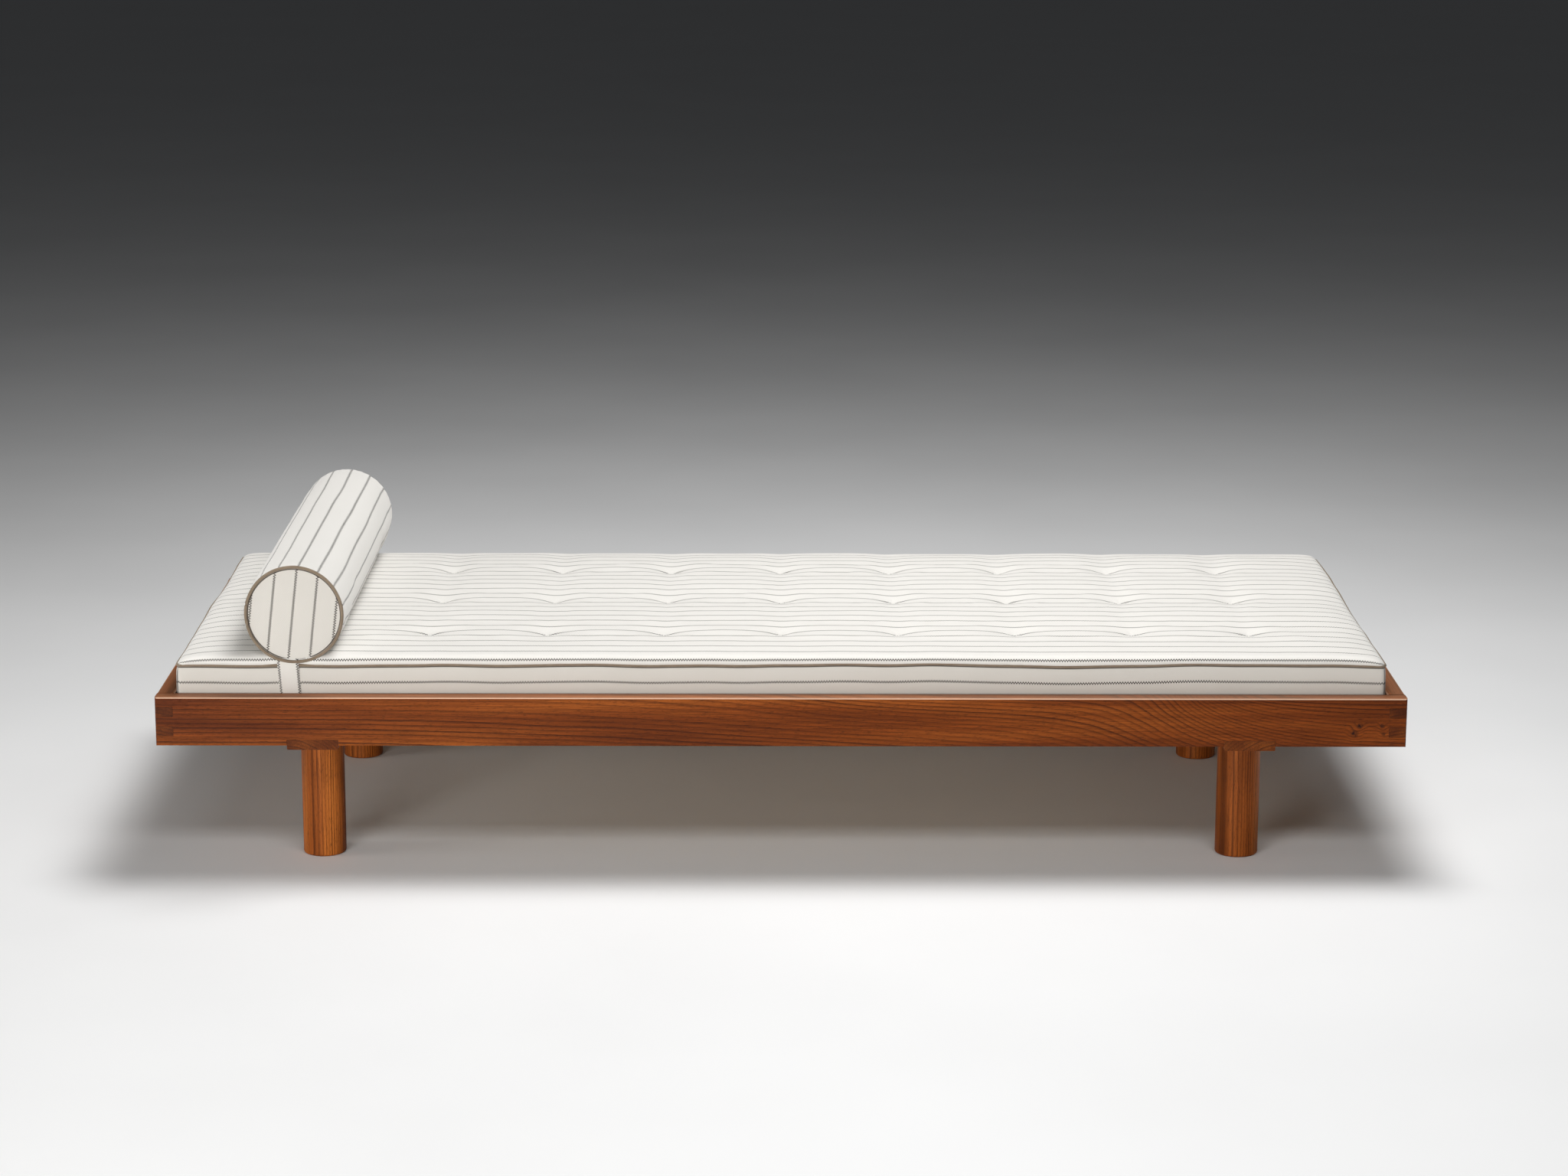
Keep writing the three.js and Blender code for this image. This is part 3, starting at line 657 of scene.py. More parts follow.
def across_profile(axis, fabric):
    """Where a point of the top panel lies on one axis, and its share of the edge height."""
    travel, offset, height = PROFILES[axis]
    gap = CLOTH_HALF[axis] - np.abs(fabric)
    place = np.where(gap < travel[-1], np.interp(gap, travel, offset), gap - slack(axis))
    return np.sign(fabric) * (HALF[axis] - place), np.interp(gap, travel, height)


def graded(start, end, count):
    share = np.arange(count) / count
    return start + (end - start) * (share - GRADING * np.sin(2 * math.pi * share) / (2 * math.pi))


def panel_lines(axis):
    pitch, count = TUFT_PITCH[axis], TUFT_COUNT[axis]
    tufts = (np.arange(count) - (count - 1) / 2) * pitch
    edge = CLOTH_HALF[axis]
    parts = [graded(-edge, tufts[0], LINES_IN_MARGIN[axis])]
    parts += [graded(a, b, LINES_PER_PITCH[axis]) for a, b in zip(tufts[:-1], tufts[1:])]
    parts += [graded(tufts[-1], edge, LINES_IN_MARGIN[axis]), [edge]]
    return np.concatenate(parts), tufts


def round_corners(x, y):
    """Squeezes the square corners of the panel into quarter discs."""
    u = 1 - (HALF[0] - np.abs(x)) / CORNER_RADIUS
    v = 1 - (HALF[1] - np.abs(y)) / CORNER_RADIUS
    inside = (u > 0) & (v > 0)
    uc, vc = np.clip(u, 0, 1.2), np.clip(v, 0, 1.2)
    new_u = np.where(inside, uc * np.sqrt(1 - np.minimum(vc, 1) ** 2 / 2), u)
    new_v = np.where(inside, vc * np.sqrt(1 - np.minimum(uc, 1) ** 2 / 2), v)
    return (np.sign(x) * (HALF[0] - CORNER_RADIUS * (1 - new_u)),
            np.sign(y) * (HALF[1] - CORNER_RADIUS * (1 - new_v)))


def seam_wave(x, y):
    """How far the top seam wanders up at a place on its outline."""
    return 5.0 * MM * ripple(x * 4.6, y * 4.6, 0, 3.1) + 2.6 * MM * ripple(x * 12, y * 12, 0, 8.4)


def quilting(a, b, tufts):
    """Depth of the valleys, tuft dimples and small folds of the top panel."""
    rows = np.abs(b) / TUFT_PITCH[1]
    row = np.where(rows > 1, 1.0, (0.5 + 0.5 * np.cos(2 * math.pi * rows)) ** 1.4)
    nearest = np.round(a / TUFT_PITCH[0]) * TUFT_PITCH[0]
    nearest = np.clip(nearest, tufts[0][0], tufts[0][-1])
    column = np.exp(-((a - nearest) / TUFT_FOLD) ** 2)
    inner = 1 / (1 + np.exp((np.abs(b) - ROW_END) / (14 * MM)))
    valley = ROW_VALLEY * (1 - (1 - row) * (1 - 0.9 * column * inner))
    back_share = 1 / (1 + np.exp(-(b - 20 * MM) / (90 * MM)))
    valley = valley + COLUMN_VALLEY * back_share * column
    row_at = np.clip(np.round(b / TUFT_PITCH[1]), -1, 1) * TUFT_PITCH[1]
    da, db = a - nearest, b - row_at
    reach = np.hypot(da, db)
    dimple = TUFT_DEPTH * np.exp(-reach / TUFT_REACH)
    angle = np.arctan2(db, da)
    seed = nearest * 37.0 + row_at * 91.0
    folds = np.cos(7 * angle + seed) * 0.55 + np.cos(4 * angle - 2 * seed) * 0.45
    ring = np.exp(-((reach - 12 * MM) / (7 * MM)) ** 2)
    crease = np.exp(-(da / TUFT_FOLD) ** 2) * np.exp(-((db + 3 * MM) / (2.6 * MM)) ** 2)
    return valley + dimple + 0.7 * MM * folds * ring + 1.1 * MM * crease


def trial_lines(axis):
    """Even lines over the panel that pass through every tuft, for the simulation."""
    step = TUFT_PITCH[axis] / TRIAL_STEPS[axis]
    edge = CLOTH_HALF[axis]
    count = int((edge - step / 2) / step)
    inside = np.arange(-count, count + 1) * step
    return np.concatenate([[-edge], inside, [edge]])


def panel_folds(a, b, tufts):
    """Folds that a simulated panel shows when it is held at its seam and tufts and filled from below."""
    rows, columns = trial_lines(0), trial_lines(1)
    points = panel_surface(rows, columns, tufts)
    pinned = np.zeros(points.shape[:2])
    pinned[[0, -1], :] = 1.0
    pinned[:, [0, -1]] = 1.0
    for x in tufts[0]:
        for y in tufts[1]:
            pinned[np.argmin(np.abs(rows - x)), np.argmin(np.abs(columns - y))] = 1.0
    faces = [face[::-1] for face in grid_faces(len(rows), len(columns))]
    moved = settle(points.reshape(-1, 3), faces, pinned.ravel(), PANEL_PRESSURE)
    fold = creases(moved.reshape(points.shape), PANEL_BLUR, PANEL_FOLD)
    under_bolster = np.exp(-((points[..., 0] - BOLSTER_X) / UNDER_BOLSTER) ** 4)
    fold *= (1 - under_bolster)[..., None]
    return sample_grid(rows, columns, fold, a, b)


def mattress_points():
    lines_a, tufts_a = panel_lines(0)
    lines_b, tufts_b = panel_lines(1)
    a, b = np.meshgrid(lines_a, lines_b, indexing="ij")
    points = panel_surface(lines_a, lines_b, (tufts_a, tufts_b))
    points += panel_folds(a, b, (tufts_a, tufts_b))
    return points, a, b


def panel_surface(lines_a, lines_b, tufts):
    """The top panel as a grid of points over its fabric coordinates."""
    a, b = np.meshgrid(lines_a, lines_b, indexing="ij")
    x, end_share = across_profile(0, a)
    y, side_share = across_profile(1, b)
    x, y = round_corners(x, y)
    overhang = np.maximum(np.abs(y) - HALF[1], 0)
    y -= np.sign(y) * overhang * np.exp(-((x - STRAP_X) / STRAP_WIDTH) ** 4)
    share = end_share * side_share
    z = SEAM_Z + EDGE_HEIGHT * share + ROW_VALLEY * share
    z -= quilting(a, b, tufts) * share ** 2
    z -= TOP_TILT * share ** 2 * b / HALF[1]
    z -= BACK_FALL * np.exp(-(CLOTH_HALF[1] - b) / BACK_REACH) * share ** 2
    rim = np.minimum(CLOTH_HALF[0] - np.abs(a), CLOTH_HALF[1] - np.abs(b))
    hold = np.exp(-rim / SEAM_HOLD)
    points = np.stack([x, y, z], -1)
    for i in range(len(lines_a)):
        for j in range(len(lines_b)):
            px, py = points[i, j, 0], points[i, j, 1]
            fullness = 0.7 * MM * ripple(px * 11, py * 15, 0, 40.2)
            fullness += 0.35 * MM * ripple(px * 30, py * 44, 0, 51.9)
            points[i, j, 2] += seam_wave(px, py) * hold[i, j] + fullness * share[i, j] ** 2
    return points


def boundary_indices(na, nb):
    """The panel's rim, anticlockwise from above, starting at the front left corner."""
    front = [(i, 0) for i in range(na - 1)]
    right = [(na - 1, j) for j in range(nb - 1)]
    back = [(i, nb - 1) for i in range(na - 1, 0, -1)]
    left = [(0, j) for j in range(nb - 1, 0, -1)]
    return front + right + back + left


def outline_normals(loop):
    ahead = np.roll(loop, -1, 0) - np.roll(loop, 1, 0)
    normals = np.stack([ahead[:, 1], -ahead[:, 0]], 1)
    return normals / np.linalg.norm(normals, axis=1)[:, None]


def add_boxing(points, faces, cloth, rim, loop, normals):
    """The mattress side from its top seam to its lower seam. Returns its lowest row of points."""
    lengths = np.concatenate([[0], np.cumsum(np.linalg.norm(np.roll(loop, -1, 0) - loop, axis=1))])
    fall = SEAM_Z - LOWER_SEAM_Z
    upper, upper_share = rim, BOXING_ROWS[0][0]
    for share, bulge in BOXING_ROWS[1:]:
        lower = []
        for point, normal in zip(loop, normals):
            wave = 0.5 * MM * ripple(point[0] * 13, point[1] * 13, share * 2.0, 66.0)
            reach = bulge * MM + wave * math.sin(math.pi * share)
            drop = (1 - share ** 3) * (point[2] - SEAM_Z)
            lower.append(len(points))
            points.append((point[0] + normal[0] * reach, point[1] + normal[1] * reach,
                           SEAM_Z - fall * share + drop))
        for k in range(len(rim)):
            m = (k + 1) % len(rim)
            faces.append((upper[k], lower[k], lower[m], upper[m]))
            corners = ((upper_share, k), (share, k), (share, k + 1), (upper_share, k + 1))
            cloth += [(lengths[at], STRIPE_DROP - part * fall, part * fall) for part, at in corners]
        upper, upper_share = lower, share
    return upper


def add_flat(points, faces, cloth, face):
    """A face whose cloth lies level."""
    faces.append(face)
    cloth += [(points[q][0], points[q][1], 0) for q in face]


def add_underside(points, faces, cloth, last, loop, normals, shape):
    """The rolled lower edge and the flat underside."""
    for inset, drop in UNDERSIDE_ROWS:
        row = []
        for point, normal in zip(loop, normals):
            row.append(len(points))
            points.append((point[0] - normal[0] * inset * MM, point[1] - normal[1] * inset * MM,
                           max(BOTTOM_Z, LOWER_SEAM_Z - drop * MM)))
        for k in range(len(row)):
            m = (k + 1) % len(row)
            add_flat(points, faces, cloth, (last[k], row[k], row[m], last[m]))
        last = row
    na, nb = shape
    front = last[:na]
    back = [last[(na - 1) + (nb - 1) + (na - 1 - i)] for i in range(na)]
    for i in range(na - 1):
        add_flat(points, faces, cloth, (front[i], back[i], back[i + 1], front[i + 1]))
    right = last[na - 1:na + nb - 1]
    left = [last[0]] + last[:-nb:-1]
    add_flat(points, faces, cloth, tuple(right[::-1]))
    add_flat(points, faces, cloth, tuple(left))


def build_mattress(material):
    """The whole cover, and the seam line that its piping follows."""
    grid, a, b = mattress_points()
    na, nb = a.shape
    points = [tuple(p) for p in grid.reshape(-1, 3)]
    fabric = np.stack([a, b, np.zeros_like(a)], -1).reshape(-1, 3).tolist()
    faces = grid_faces(na, nb)
    cloth = [fabric[q] for face in faces for q in face]
    outline = boundary_indices(na, nb)
    loop = np.array([grid[place] for place in outline])
    normals = outline_normals(loop[:, :2])
    rim = [i * nb + j for i, j in outline]
    last = add_boxing(points, faces, cloth, rim, loop, normals)
    add_underside(points, faces, cloth, last, loop, normals, (na, nb))
    return make_object("mattress_cover", points, faces, cloth, material), loop


def seam_piping(name, loop, material, z=None):
    """Piping along the mattress outline, at the outline's own height or at a fixed one."""
    path = []
    for point in loop:
        place = Vector((point[0], point[1], point[2] if z is None else z))
        if not path or (place - path[-1]).length > PIPING_STEP:
            path.append(place)
    if (path[-1] - path[0]).length < 3 * MM:
        path.pop()
    return piping_tube(name, path, material)


# ---- bolster shape

BOLSTER_Z = bolster_high.z - BOLSTER_RADIUS - BOLSTER_SWELL + 0.2 * MM
BOLSTER_HALF = -bolster_low.y + BOLSTER_OVERHANG
RING_RADIUS = BOLSTER_RADIUS - 2.5 * MM
COVER_SPARE = 0.8 * MM
RING_SPARE = 2.6 * MM
BACK_TUCK = 1.6 * MM
SOFT_BEND = 3 * MM


def crown_height(y):
    """Height of the mattress top under the bolster, away from the tufts."""
    _, offset, height = PROFILES[1]
    top = np.argmin(offset)
    share = float(np.interp(HALF[1] - abs(y), offset[top:], height[top:]))
    return SEAM_Z + (EDGE_HEIGHT + 0.5 * ROW_VALLEY) * share


def rest_on_crown(y, z, spare):
    """Lifts a bolster point that would lie in the mattress, with a soft bend where it leaves it."""
    edge = max(0.0, abs(y) - (HALF[1] - 1 * MM))
    floor_z = crown_height(y) + spare - edge * 4
    gap = z - floor_z
    if gap > 4 * SOFT_BEND:
        return z
    if gap > -8 * SOFT_BEND:
        return floor_z + SOFT_BEND * math.log1p(math.exp(gap / SOFT_BEND))
    return floor_z


def round_ripple(turn, reach, z, seed):
    """Ripple that closes on itself round a circle."""
    return ripple(math.sin(turn) * reach, math.cos(turn) * reach, z, seed)


def bolster_radius(turn, y):
    share = y / BOLSTER_HALF
    swell = BOLSTER_SWELL * (1 - share ** 4)
    pull = -2.6 * MM * math.exp(-(1 - abs(share)) * 170)
    wave = 0.55 * MM * ripple(math.cos(turn) * 1.3, math.sin(turn) * 1.3, y * 7, 5.0)
    fine = 0.30 * MM * ripple(math.cos(turn) * 4, math.sin(turn) * 4, y * 22, 15.0)
    pucker = 0.35 * MM * math.sin(turn * 38 + 2.0 * math.sin(turn * 5))
    pucker *= math.exp(-(1 - abs(share)) * 26)
    return BOLSTER_RADIUS + swell + pull + (wave + fine + pucker)


def bolster_point(turn, y, radius, spare=COVER_SPARE):
    x = BOLSTER_X + radius * math.sin(turn) * (1 - BOLSTER_OVAL)
    z = BOLSTER_Z + radius * math.cos(turn) * (1 + BOLSTER_OVAL)
    return (x, y, rest_on_crown(y, z, spare))


def bolster_folds(points):
    """Folds of the simulated tube, which is held at its end seams and where it rests."""
    grid = np.array(points).reshape(BOLSTER_ALONG + 1, BOLSTER_AROUND, 3)
    pinned = np.zeros(grid.shape[:2])
    pinned[[0, -1], :] = 1.0
    resting = grid[..., 2] < BOLSTER_Z - 0.8 * BOLSTER_RADIUS
    pinned[resting] = 1.0
    faces = [face[::-1] for face in grid_faces(*grid.shape[:2], wrap=True)]
    moved = settle(grid.reshape(-1, 3), faces, pinned.ravel(), BOLSTER_PRESSURE)
    fold = creases(moved.reshape(grid.shape), BOLSTER_BLUR, BOLSTER_FOLD, wrap=True)
    fold[resting] = 0.0
    from_end = BOLSTER_HALF - np.abs(grid[..., 1])
    fold *= (np.clip(from_end / FOLD_FADE, 0.0, 1.0) ** 2)[..., None]
    return [tuple(p) for p in (grid + fold).reshape(-1, 3)]


def side_stripe(turn, y):
    """Place across the stripes of the round side, which drift a little from straight."""
    pitch_scale = STRIPE_PITCH * BOLSTER_STRIPES / (2 * math.pi)
    drift = 2.4 * MM * round_ripple(turn, 1.1, y * 6.5, 77.0)
    return (turn - BOLSTER_STRIPE_START) * pitch_scale + drift


def bolster_side():
    """Points, faces and cloth of the round side."""
    around = BOLSTER_AROUND
    share = np.linspace(-1, 1, BOLSTER_ALONG + 1)
    places = np.sign(share) * (1 - (1 - np.abs(share)) ** 1.25) * BOLSTER_HALF
    turns = [2 * math.pi * k / around for k in range(around + 1)]
    points = [bolster_point(turn, y, bolster_radius(turn, y)) for y in places for turn in turns[:-1]]
    points = bolster_folds(points)
    faces, cloth = [], []
    for i in range(BOLSTER_ALONG):
        for k in range(around):
            corners = ((i, k), (i, k + 1), (i + 1, k + 1), (i + 1, k))
            faces.append(tuple(row * around + step % around for row, step in corners))
            cloth += [(places[row], side_stripe(turns[step], places[row]), 0) for row, step in corners]
    return points, faces, cloth


def disc_cloth(point):
    """Cloth place on an end disc, whose stripes lean and lie a little wider apart."""
    dx, dz = point[0] - BOLSTER_X - DISC_SHIFT, point[2] - BOLSTER_Z
    along = dz * math.cos(DISC_LEAN) + dx * math.sin(DISC_LEAN)
    across = dx * math.cos(DISC_LEAN) - dz * math.sin(DISC_LEAN)
    rim = RING_RADIUS - math.hypot(point[0] - BOLSTER_X, dz)
    return (along, across * (STRIPE_PITCH / DISC_PITCH), max(0.0, rim))


def add_disc(points, faces, cloth, end):
    """One end of the bolster, from its rim to its middle."""
    def add_face(face):
        faces.append(face if end < 0 else face[::-1])
        cloth.extend(disc_cloth(points[q]) for q in faces[-1])

    around = BOLSTER_AROUND
    first = 0 if end < 0 else BOLSTER_ALONG * around
    previous = list(range(first, first + around))
    for share in DISC_RINGS:
        row = list(range(len(points), len(points) + around))
        bow = (1 - share ** 2) * 3.2 * MM - 2.2 * MM * min(1.0, (1 - share) * 40)
        for k in range(around):
            turn = 2 * math.pi * k / around
            wave = 0.5 * MM * round_ripple(turn, share * 2, end * 3.0, 91.0)
            x, _, z = bolster_point(turn, end * BOLSTER_HALF, share * RING_RADIUS)
            points.append((x, end * (BOLSTER_HALF + bow + wave * (1 - share)), z))
        for k in range(around):
            m = (k + 1) % around
            add_face((previous[k], row[k], row[m], previous[m]))
        previous = row
    centre = len(points)
    points.append((BOLSTER_X, sum(points[q][1] for q in previous) / around, BOLSTER_Z))
    for k in range(around):
        add_face((previous[k], centre, previous[(k + 1) % around]))


def build_bolster(material):
    points, faces, cloth = bolster_side()
    for end in (-1, 1):
        add_disc(points, faces, cloth, end)
    return make_object("bolster_cover", points, faces, cloth, material)


def bolster_ring(name, end, material):
    """Piping round one end. The back ring is tucked in a little more than the front one."""
    path = []
    for k in range(RING_STEPS):
        turn = 2 * math.pi * k / RING_STEPS
        radius = RING_RADIUS + 0.4 * MM * round_ripple(turn, 2, end, 33.0)
        radius -= BACK_TUCK if end > 0 else 0.0
        y = end * (BOLSTER_HALF - 0.2 * MM) + 0.5 * MM * round_ripple(turn, 1.6, end, 44.0)
        path.append(Vector(bolster_point(turn, y, radius, RING_SPARE)))
    return piping_tube(name, path, material)


# ---- strap

STRAP_THICK = 1.6 * MM
STRAP_TUCK = 65 * MM
STRAP_COLUMNS = 10
STRAP_HEM = 2.2 * MM


def strap_path():
    """The strap's mid line in the YZ plane, from its front tuck round the mattress to its back tuck."""
    tuck = strap_high.y - STRAP_TUCK
    over = []
    for gap in np.linspace(HALF[1] - tuck, 2 * MM, 12):
        y = HALF[1] - gap
        over.append((y, crown_height(y) + 1.1 * MM))
    out = HALF[1] + PIPING_RADIUS + 0.9 * MM
    over += [(HALF[1] + 1.1 * MM, SEAM_Z + 13 * MM), (HALF[1] + 2.0 * MM, SEAM_Z + 8.0 * MM),
             (out - 0.3 * MM, SEAM_Z + 4.0 * MM),
             (out, SEAM_Z), (out - 0.3 * MM, SEAM_Z - 4 * MM), (out - 0.6 * MM, SEAM_Z - 10 * MM)]
    low = strap_low.z + STRAP_THICK / 2
    over += [(out - 0.5 * MM, SEAM_Z - 30 * MM), (out - 0.5 * MM, SEAM_Z - 48 * MM),
             (out - 0.4 * MM, low + 5 * MM), (out - 2.0 * MM, low + 1.2 * MM), (out - 6 * MM, low)]
    front = [(-y, z) for y, z in over]
    return front + [(0.0, low)] + over[::-1]


def strap_line():
    """The strap's mid line in short steps, with its bends rounded."""
    path = strap_path()
    dense = []
    for (y0, z0), (y1, z1) in zip(path[:-1], path[1:]):
        steps = max(1, min(12, int(math.hypot(y1 - y0, z1 - z0) / (4 * MM))))
        dense += [(y0 + (y1 - y0) * s / steps, z0 + (z1 - z0) * s / steps) for s in range(steps)]
    dense.append(path[-1])
    for _ in range(2):
        inner = [((p[0] + 2 * q[0] + r[0]) / 4, (p[1] + 2 * q[1] + r[1]) / 4)
                 for p, q, r in zip(dense[:-2], dense[1:-1], dense[2:])]
        dense = [dense[0]] + inner + [dense[-1]]
    return dense


def strap_points(line):
    """Points of the strap's two faces, row by row along its mid line, and the length at each row."""
    points, lengths = [], []
    travel = 0.0
    for i, (y, z) in enumerate(line):
        if i:
            travel += math.hypot(y - line[i - 1][0], z - line[i - 1][1])
        lengths.append(travel)
        before, after = line[max(0, i - 1)], line[min(len(line) - 1, i + 1)]
        ahead = Vector((0, after[0] - before[0], after[1] - before[1])).normalized()
        up = Vector((1, 0, 0)).cross(ahead)
        fall = min(1.0, max(0.0, (SEAM_Z + 6 * MM - z) / (60 * MM)))
        skew = 4.0 * MM * fall if y < 0 else -2.0 * MM * fall
        for layer in (1, -1):
            for c in range(STRAP_COLUMNS + 1):
                across = (c / STRAP_COLUMNS - 0.5) * STRAP_WIDTH
                thick = STRAP_THICK / 2 * (1 - 0.45 * abs(2 * c / STRAP_COLUMNS - 1) ** 8)
                curl = 0.35 * MM * ripple(across * 40, travel * 22, 0, 12.0)
                points.append(Vector((STRAP_X + across + skew, y, z)) + up * (layer * thick + curl))
    return points, lengths


def build_strap(material):
    """A closed band: two faces, two long edges and two ends."""
    line = strap_line()
    points, lengths = strap_points(line)
    faces, cloth = [], []

    def add_quad(corners, flip=False):
        for row, layer, c in corners[::-1] if flip else corners:
            across = (c / STRAP_COLUMNS - 0.5) * STRAP_WIDTH
            cloth.append((lengths[row], STRAP_WIDTH / 2 - abs(across) - STRAP_HEM, 0))
        quad = tuple((2 * row + layer) * (STRAP_COLUMNS + 1) + c for row, layer, c in corners)
        faces.append(quad[::-1] if flip else quad)

    for i in range(len(line) - 1):
        for c in range(STRAP_COLUMNS):
            add_quad(((i, 0, c), (i, 0, c + 1), (i + 1, 0, c + 1), (i + 1, 0, c)))
            add_quad(((i, 1, c), (i + 1, 1, c), (i + 1, 1, c + 1), (i, 1, c + 1)))
        for c in (0, STRAP_COLUMNS):
            add_quad(((i, 0, c), (i + 1, 0, c), (i + 1, 1, c), (i, 1, c)), flip=c > 0)
    for i in (0, len(line) - 1):
        for c in range(STRAP_COLUMNS):
            add_quad(((i, 0, c), (i, 1, c), (i, 1, c + 1), (i, 0, c + 1)), flip=i > 0)
    return make_object("strap_webbing", points, faces, cloth, material)


# ---- frame finish

RAIL_TONES = ((0.285, 0.072, 0.0092), (0.180, 0.039, 0.0044), (0.105, 0.020, 0.0022))
LEG_TONES = ((0.50, 0.150, 0.026), (0.30, 0.078, 0.0120), (0.16, 0.036, 0.0050))
BASE_TONES = ((0.66, 0.46, 0.25), (0.55, 0.36, 0.18), (0.42, 0.26, 0.12))


# node, grain axis, noise seed, middle of the growth rings
BOARDS = (
    ("rail_back", "X", 31.0, (0.60, -0.60)),
    ("end_board_head", "Y", 52.0, (-1.15, -0.45)),
    ("end_board_foot", "Y", 73.0, (1.15, -0.45)),
    ("crossbar_head", "Y", 94.0, (-0.80, 0.12)),
    ("crossbar_foot", "Y", 115.0, (0.80, 0.12)),
)


def front_rail_wood():
    """Rings that fall to the right in the middle and steeply near the right leg, with four knots."""
    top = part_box("rail_front")[1].z
    low, high = top - 58 * MM, top - 45 * MM
    return wood_material(
        "rail_front_wood", "X", RAIL_TONES, 2.0, ring=7.4 * MM, centre=(-0.60, -0.60),
        wobble=8 * MM, contrast=0.95,
        steps=((0.66, 0.17, 150 * MM, top), (0.05, 0.50, 70 * MM, top)),
        knots=((0.917, low, 6 * MM), (0.925, high, 5 * MM), (0.961, high, 4 * MM), (0.963, low, 3.5 * MM)))


def leg_wood(leg, number):
    middle = middle_of(leg)
    return wood_material(
        leg + "_wood", "Z", LEG_TONES, 140.0 + 17 * number, ring=3.6 * MM,
        centre=(middle.x + 0.06, middle.y + 0.05), wobble=4 * MM, contrast=0.95)


def base_wood(name, axis, seed, centre):
    return wood_material(name, axis, BASE_TONES, seed, ring=9 * MM, contrast=0.35, centre=centre,
                         end_tone=0.2, roughness=(0.55, 0.7))


def dress_frame():
    """Gives every carried-over node its material."""
    shared = (
        (("hanger_bolt", "washer", "nut", "ledger_screw", "slat_screw"), steel_material()),
        (("slat_tape",), webbing_material()),
        (("slat_",), base_wood("slat_wood", "Y", 220.0, (0.3, 0.4))),
        (("ledger_",), base_wood("ledger_wood", "X", 241.0, (0.2, 0.1))),
    )
    finishes = {"rail_front": front_rail_wood()}
    for name, axis, seed, centre in BOARDS:
        finishes[name] = wood_material(name + "_wood", axis, RAIL_TONES, seed, centre=centre)
    for number, leg in enumerate(n for n in sorted(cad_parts) if n.startswith("leg_")):
        finishes[leg] = leg_wood(leg, number)
    for name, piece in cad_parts.items():
        if name not in finishes:
            finishes[name] = next((made for starts, made in shared if name.startswith(starts)), None)
        if finishes[name] is not None:
            piece.data.materials.clear()
            piece.data.materials.append(finishes[name])


# ---- stage

FLOOR_TONES = (rgba(0.85, 0.86, 0.872), rgba(0.90, 0.91, 0.922))
FLOOR_REACH = 30.0
FLOOR_RINGS = (0.1, 0.3, 1.0)
FLOOR_SIDES = 64
SKY_TONE = rgba(0.95, 0.97, 1.0)
SKY_STRENGTH = 0.03
# name, place, target, size in metres, power in watts, colour
LIGHTS = (
    ("overhead", (0.4, 0.3, 3.3), (0.1, 0.0, 0.2), (1.7, 1.3), 102.0, (1.0, 0.99, 0.975)),
    ("front_left", (-2.2, -4.7, 0.75), (-0.2, 0.0, 0.3), (1.8, 0.9), 108.0, (1.0, 0.97, 0.93)),
    ("left_side", (-3.2, -0.8, 0.7), (0.0, 0.0, 0.15), (1.0, 1.0), 14.0, (1.0, 0.98, 0.95)),
    ("front_floor", (0.2, -3.5, 3.0), (0.2, -3.5, 0.0), (4.0, 1.2), 80.0, (1.0, 0.99, 0.98)),
)


def make_camera():
    data = bpy.data.cameras.new("camera")
    data.sensor_fit = "HORIZONTAL"
    data.sensor_width = SENSOR
    data.lens = CAMERA_LENS
    data.clip_start = 0.1
    data.clip_end = 100.0
    camera = bpy.data.objects.new("camera", data)
    bpy.context.scene.collection.objects.link(camera)
    turn = Matrix.Rotation(math.radians(CAMERA_YAW), 4, "Z")
    tilt = Matrix.Rotation(math.radians(-CAMERA_PITCH), 4, "X")
    roll = Matrix.Rotation(math.radians(CAMERA_ROLL), 4, "Y")
    level = Matrix.Rotation(math.radians(90), 4, "X")
    camera.matrix_world = Matrix.Translation(CAMERA_PLACE) @ turn @ tilt @ roll @ level
    bpy.context.scene.camera = camera


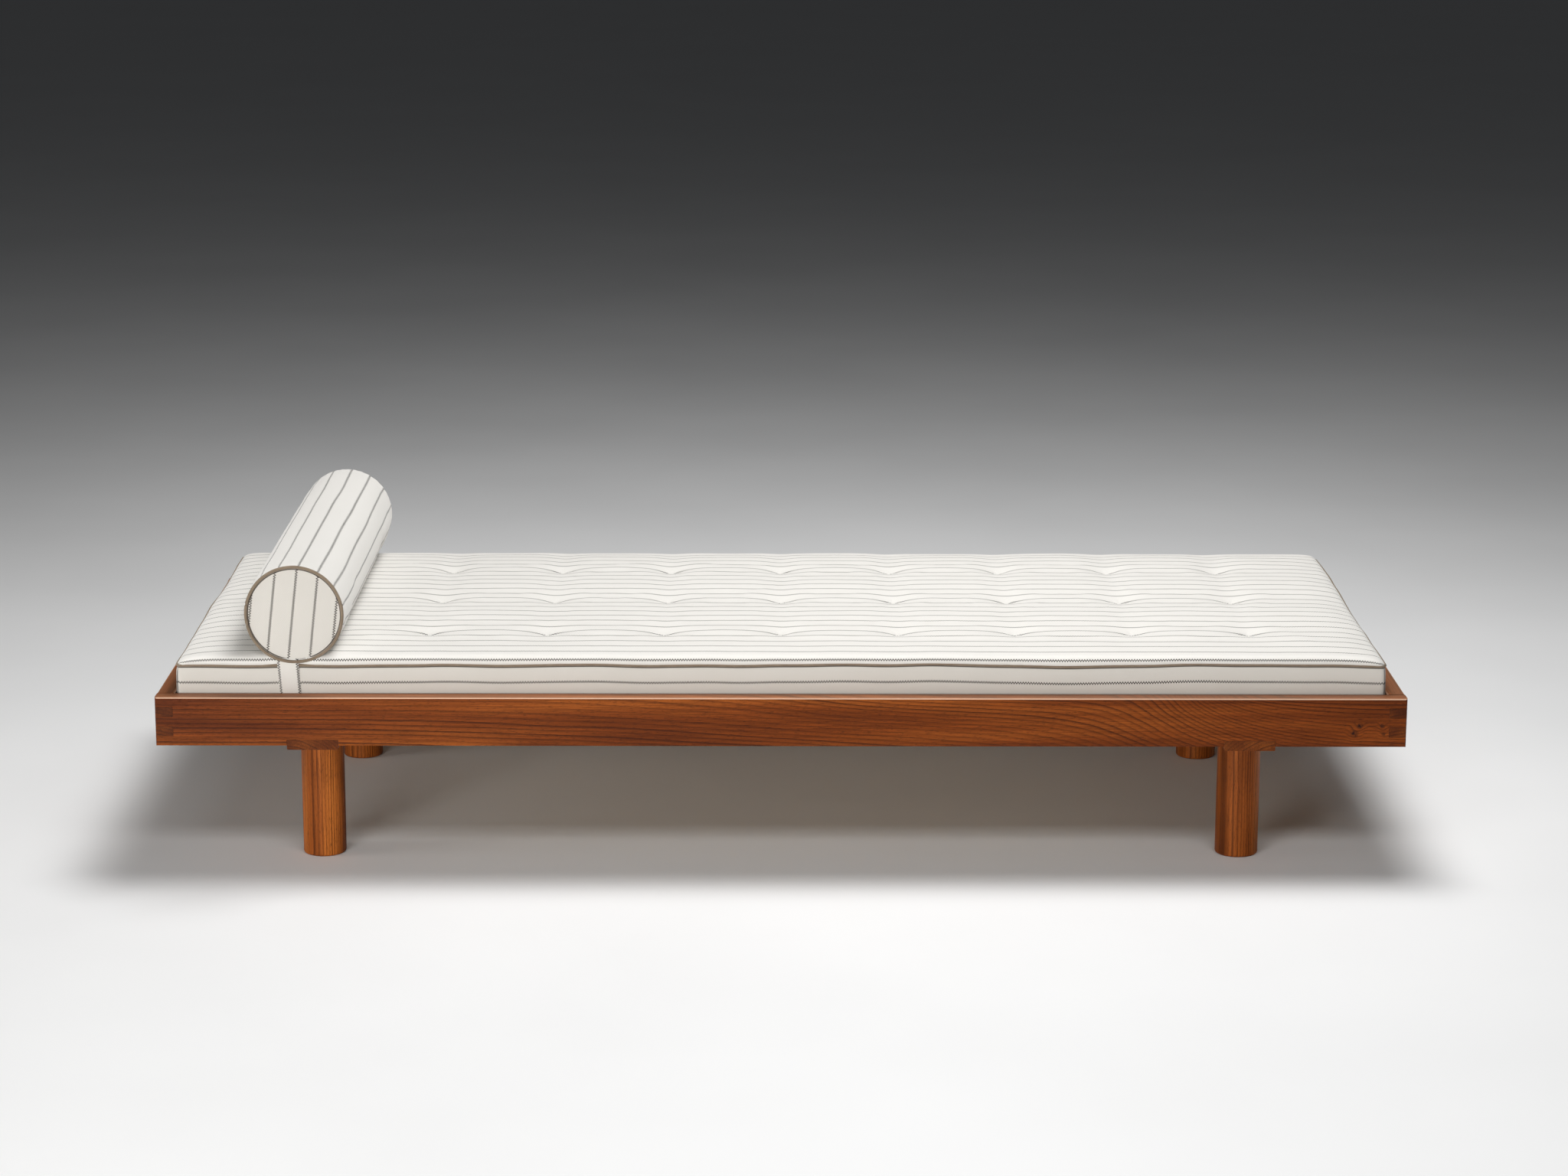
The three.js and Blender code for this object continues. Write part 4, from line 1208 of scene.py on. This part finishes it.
def make_floor():
    material, tree = new_material("pale_floor")
    place = node(tree, "TexCoord").outputs["Object"]
    cloud = noise_value(place, 1.3, 4.0)
    grain = noise_value(place, 240.0, 2.0)
    colour = mix(tree, cloud, *FLOOR_TONES)
    rough = remap(cloud, 0.3, 0.7, 0.55, 0.75, "LINEAR")
    finish_shader(tree, colour, rough, grain, 0.05 * MM, Specular_IOR_Level=0.2)
    points = [Vector((0, 0, 0))]
    for ring in FLOOR_RINGS:
        for k in range(FLOOR_SIDES):
            turn = 2 * math.pi * k / FLOOR_SIDES
            points.append(Vector((math.cos(turn), math.sin(turn), 0)) * FLOOR_REACH * ring)
    faces = []
    for k in range(FLOOR_SIDES):
        m = (k + 1) % FLOOR_SIDES
        faces.append((0, 1 + k, 1 + m))
        for r in range(len(FLOOR_RINGS) - 1):
            inner = 1 + r * FLOOR_SIDES
            outer = inner + FLOOR_SIDES
            faces.append((inner + k, outer + k, outer + m, inner + m))
    floor = make_object("floor", points, faces, None, material)
    floor.location.z = cad_low.z


def area_light(name, place, target, size, power, colour):
    data = bpy.data.lights.new(name, "AREA")
    data.shape = "RECTANGLE"
    data.size = size[0]
    data.size_y = size[1]
    data.energy = power
    data.color = colour
    light = bpy.data.objects.new(name, data)
    bpy.context.scene.collection.objects.link(light)
    light.location = place
    aim = Vector(target) - Vector(place)
    light.rotation_euler = aim.to_track_quat("-Z", "Y").to_euler()


def make_light():
    world = bpy.data.worlds.new("studio")
    world.use_nodes = True
    background = world.node_tree.nodes["Background"]
    background.inputs["Color"].default_value = SKY_TONE
    background.inputs["Strength"].default_value = SKY_STRENGTH
    bpy.context.scene.world = world
    for light in LIGHTS:
        area_light(*light)
    bpy.context.scene.view_settings.view_transform = "Standard"


# ---- assembly

def place_piece(piece, body, slot, *nodes, fill=None):
    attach(piece, body)
    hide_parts(*nodes)


make_camera()
dress_frame()
ticking = ticking_material("ticking_cloth")
piping = piping_material()
mattress, seam_loop = build_mattress(ticking)
place_piece(mattress, "mattress", "ticking", "mattress", fill=0.7)
top_piping = seam_piping("mattress_cord_top", seam_loop, piping)
place_piece(top_piping, "mattress", "piping", "mattress_piping_top")
low_piping = seam_piping("mattress_cord_bottom", seam_loop, piping, LOWER_SEAM_Z)
place_piece(low_piping, "mattress", "piping", "mattress_piping_bottom")
bolster = build_bolster(ticking)
place_piece(bolster, "bolster", "ticking", "bolster", fill=0.9)
for side, end in (("front", -1), ("back", 1)):
    ring = bolster_ring("bolster_cord_" + side, end, piping)
    place_piece(ring, "bolster", "piping", "bolster_piping_" + side)
strap = build_strap(ticking_material("strap_cloth", edge_zigzag=True))
place_piece(strap, "bolster", "ticking", "bolster_strap")
make_floor()
make_light()
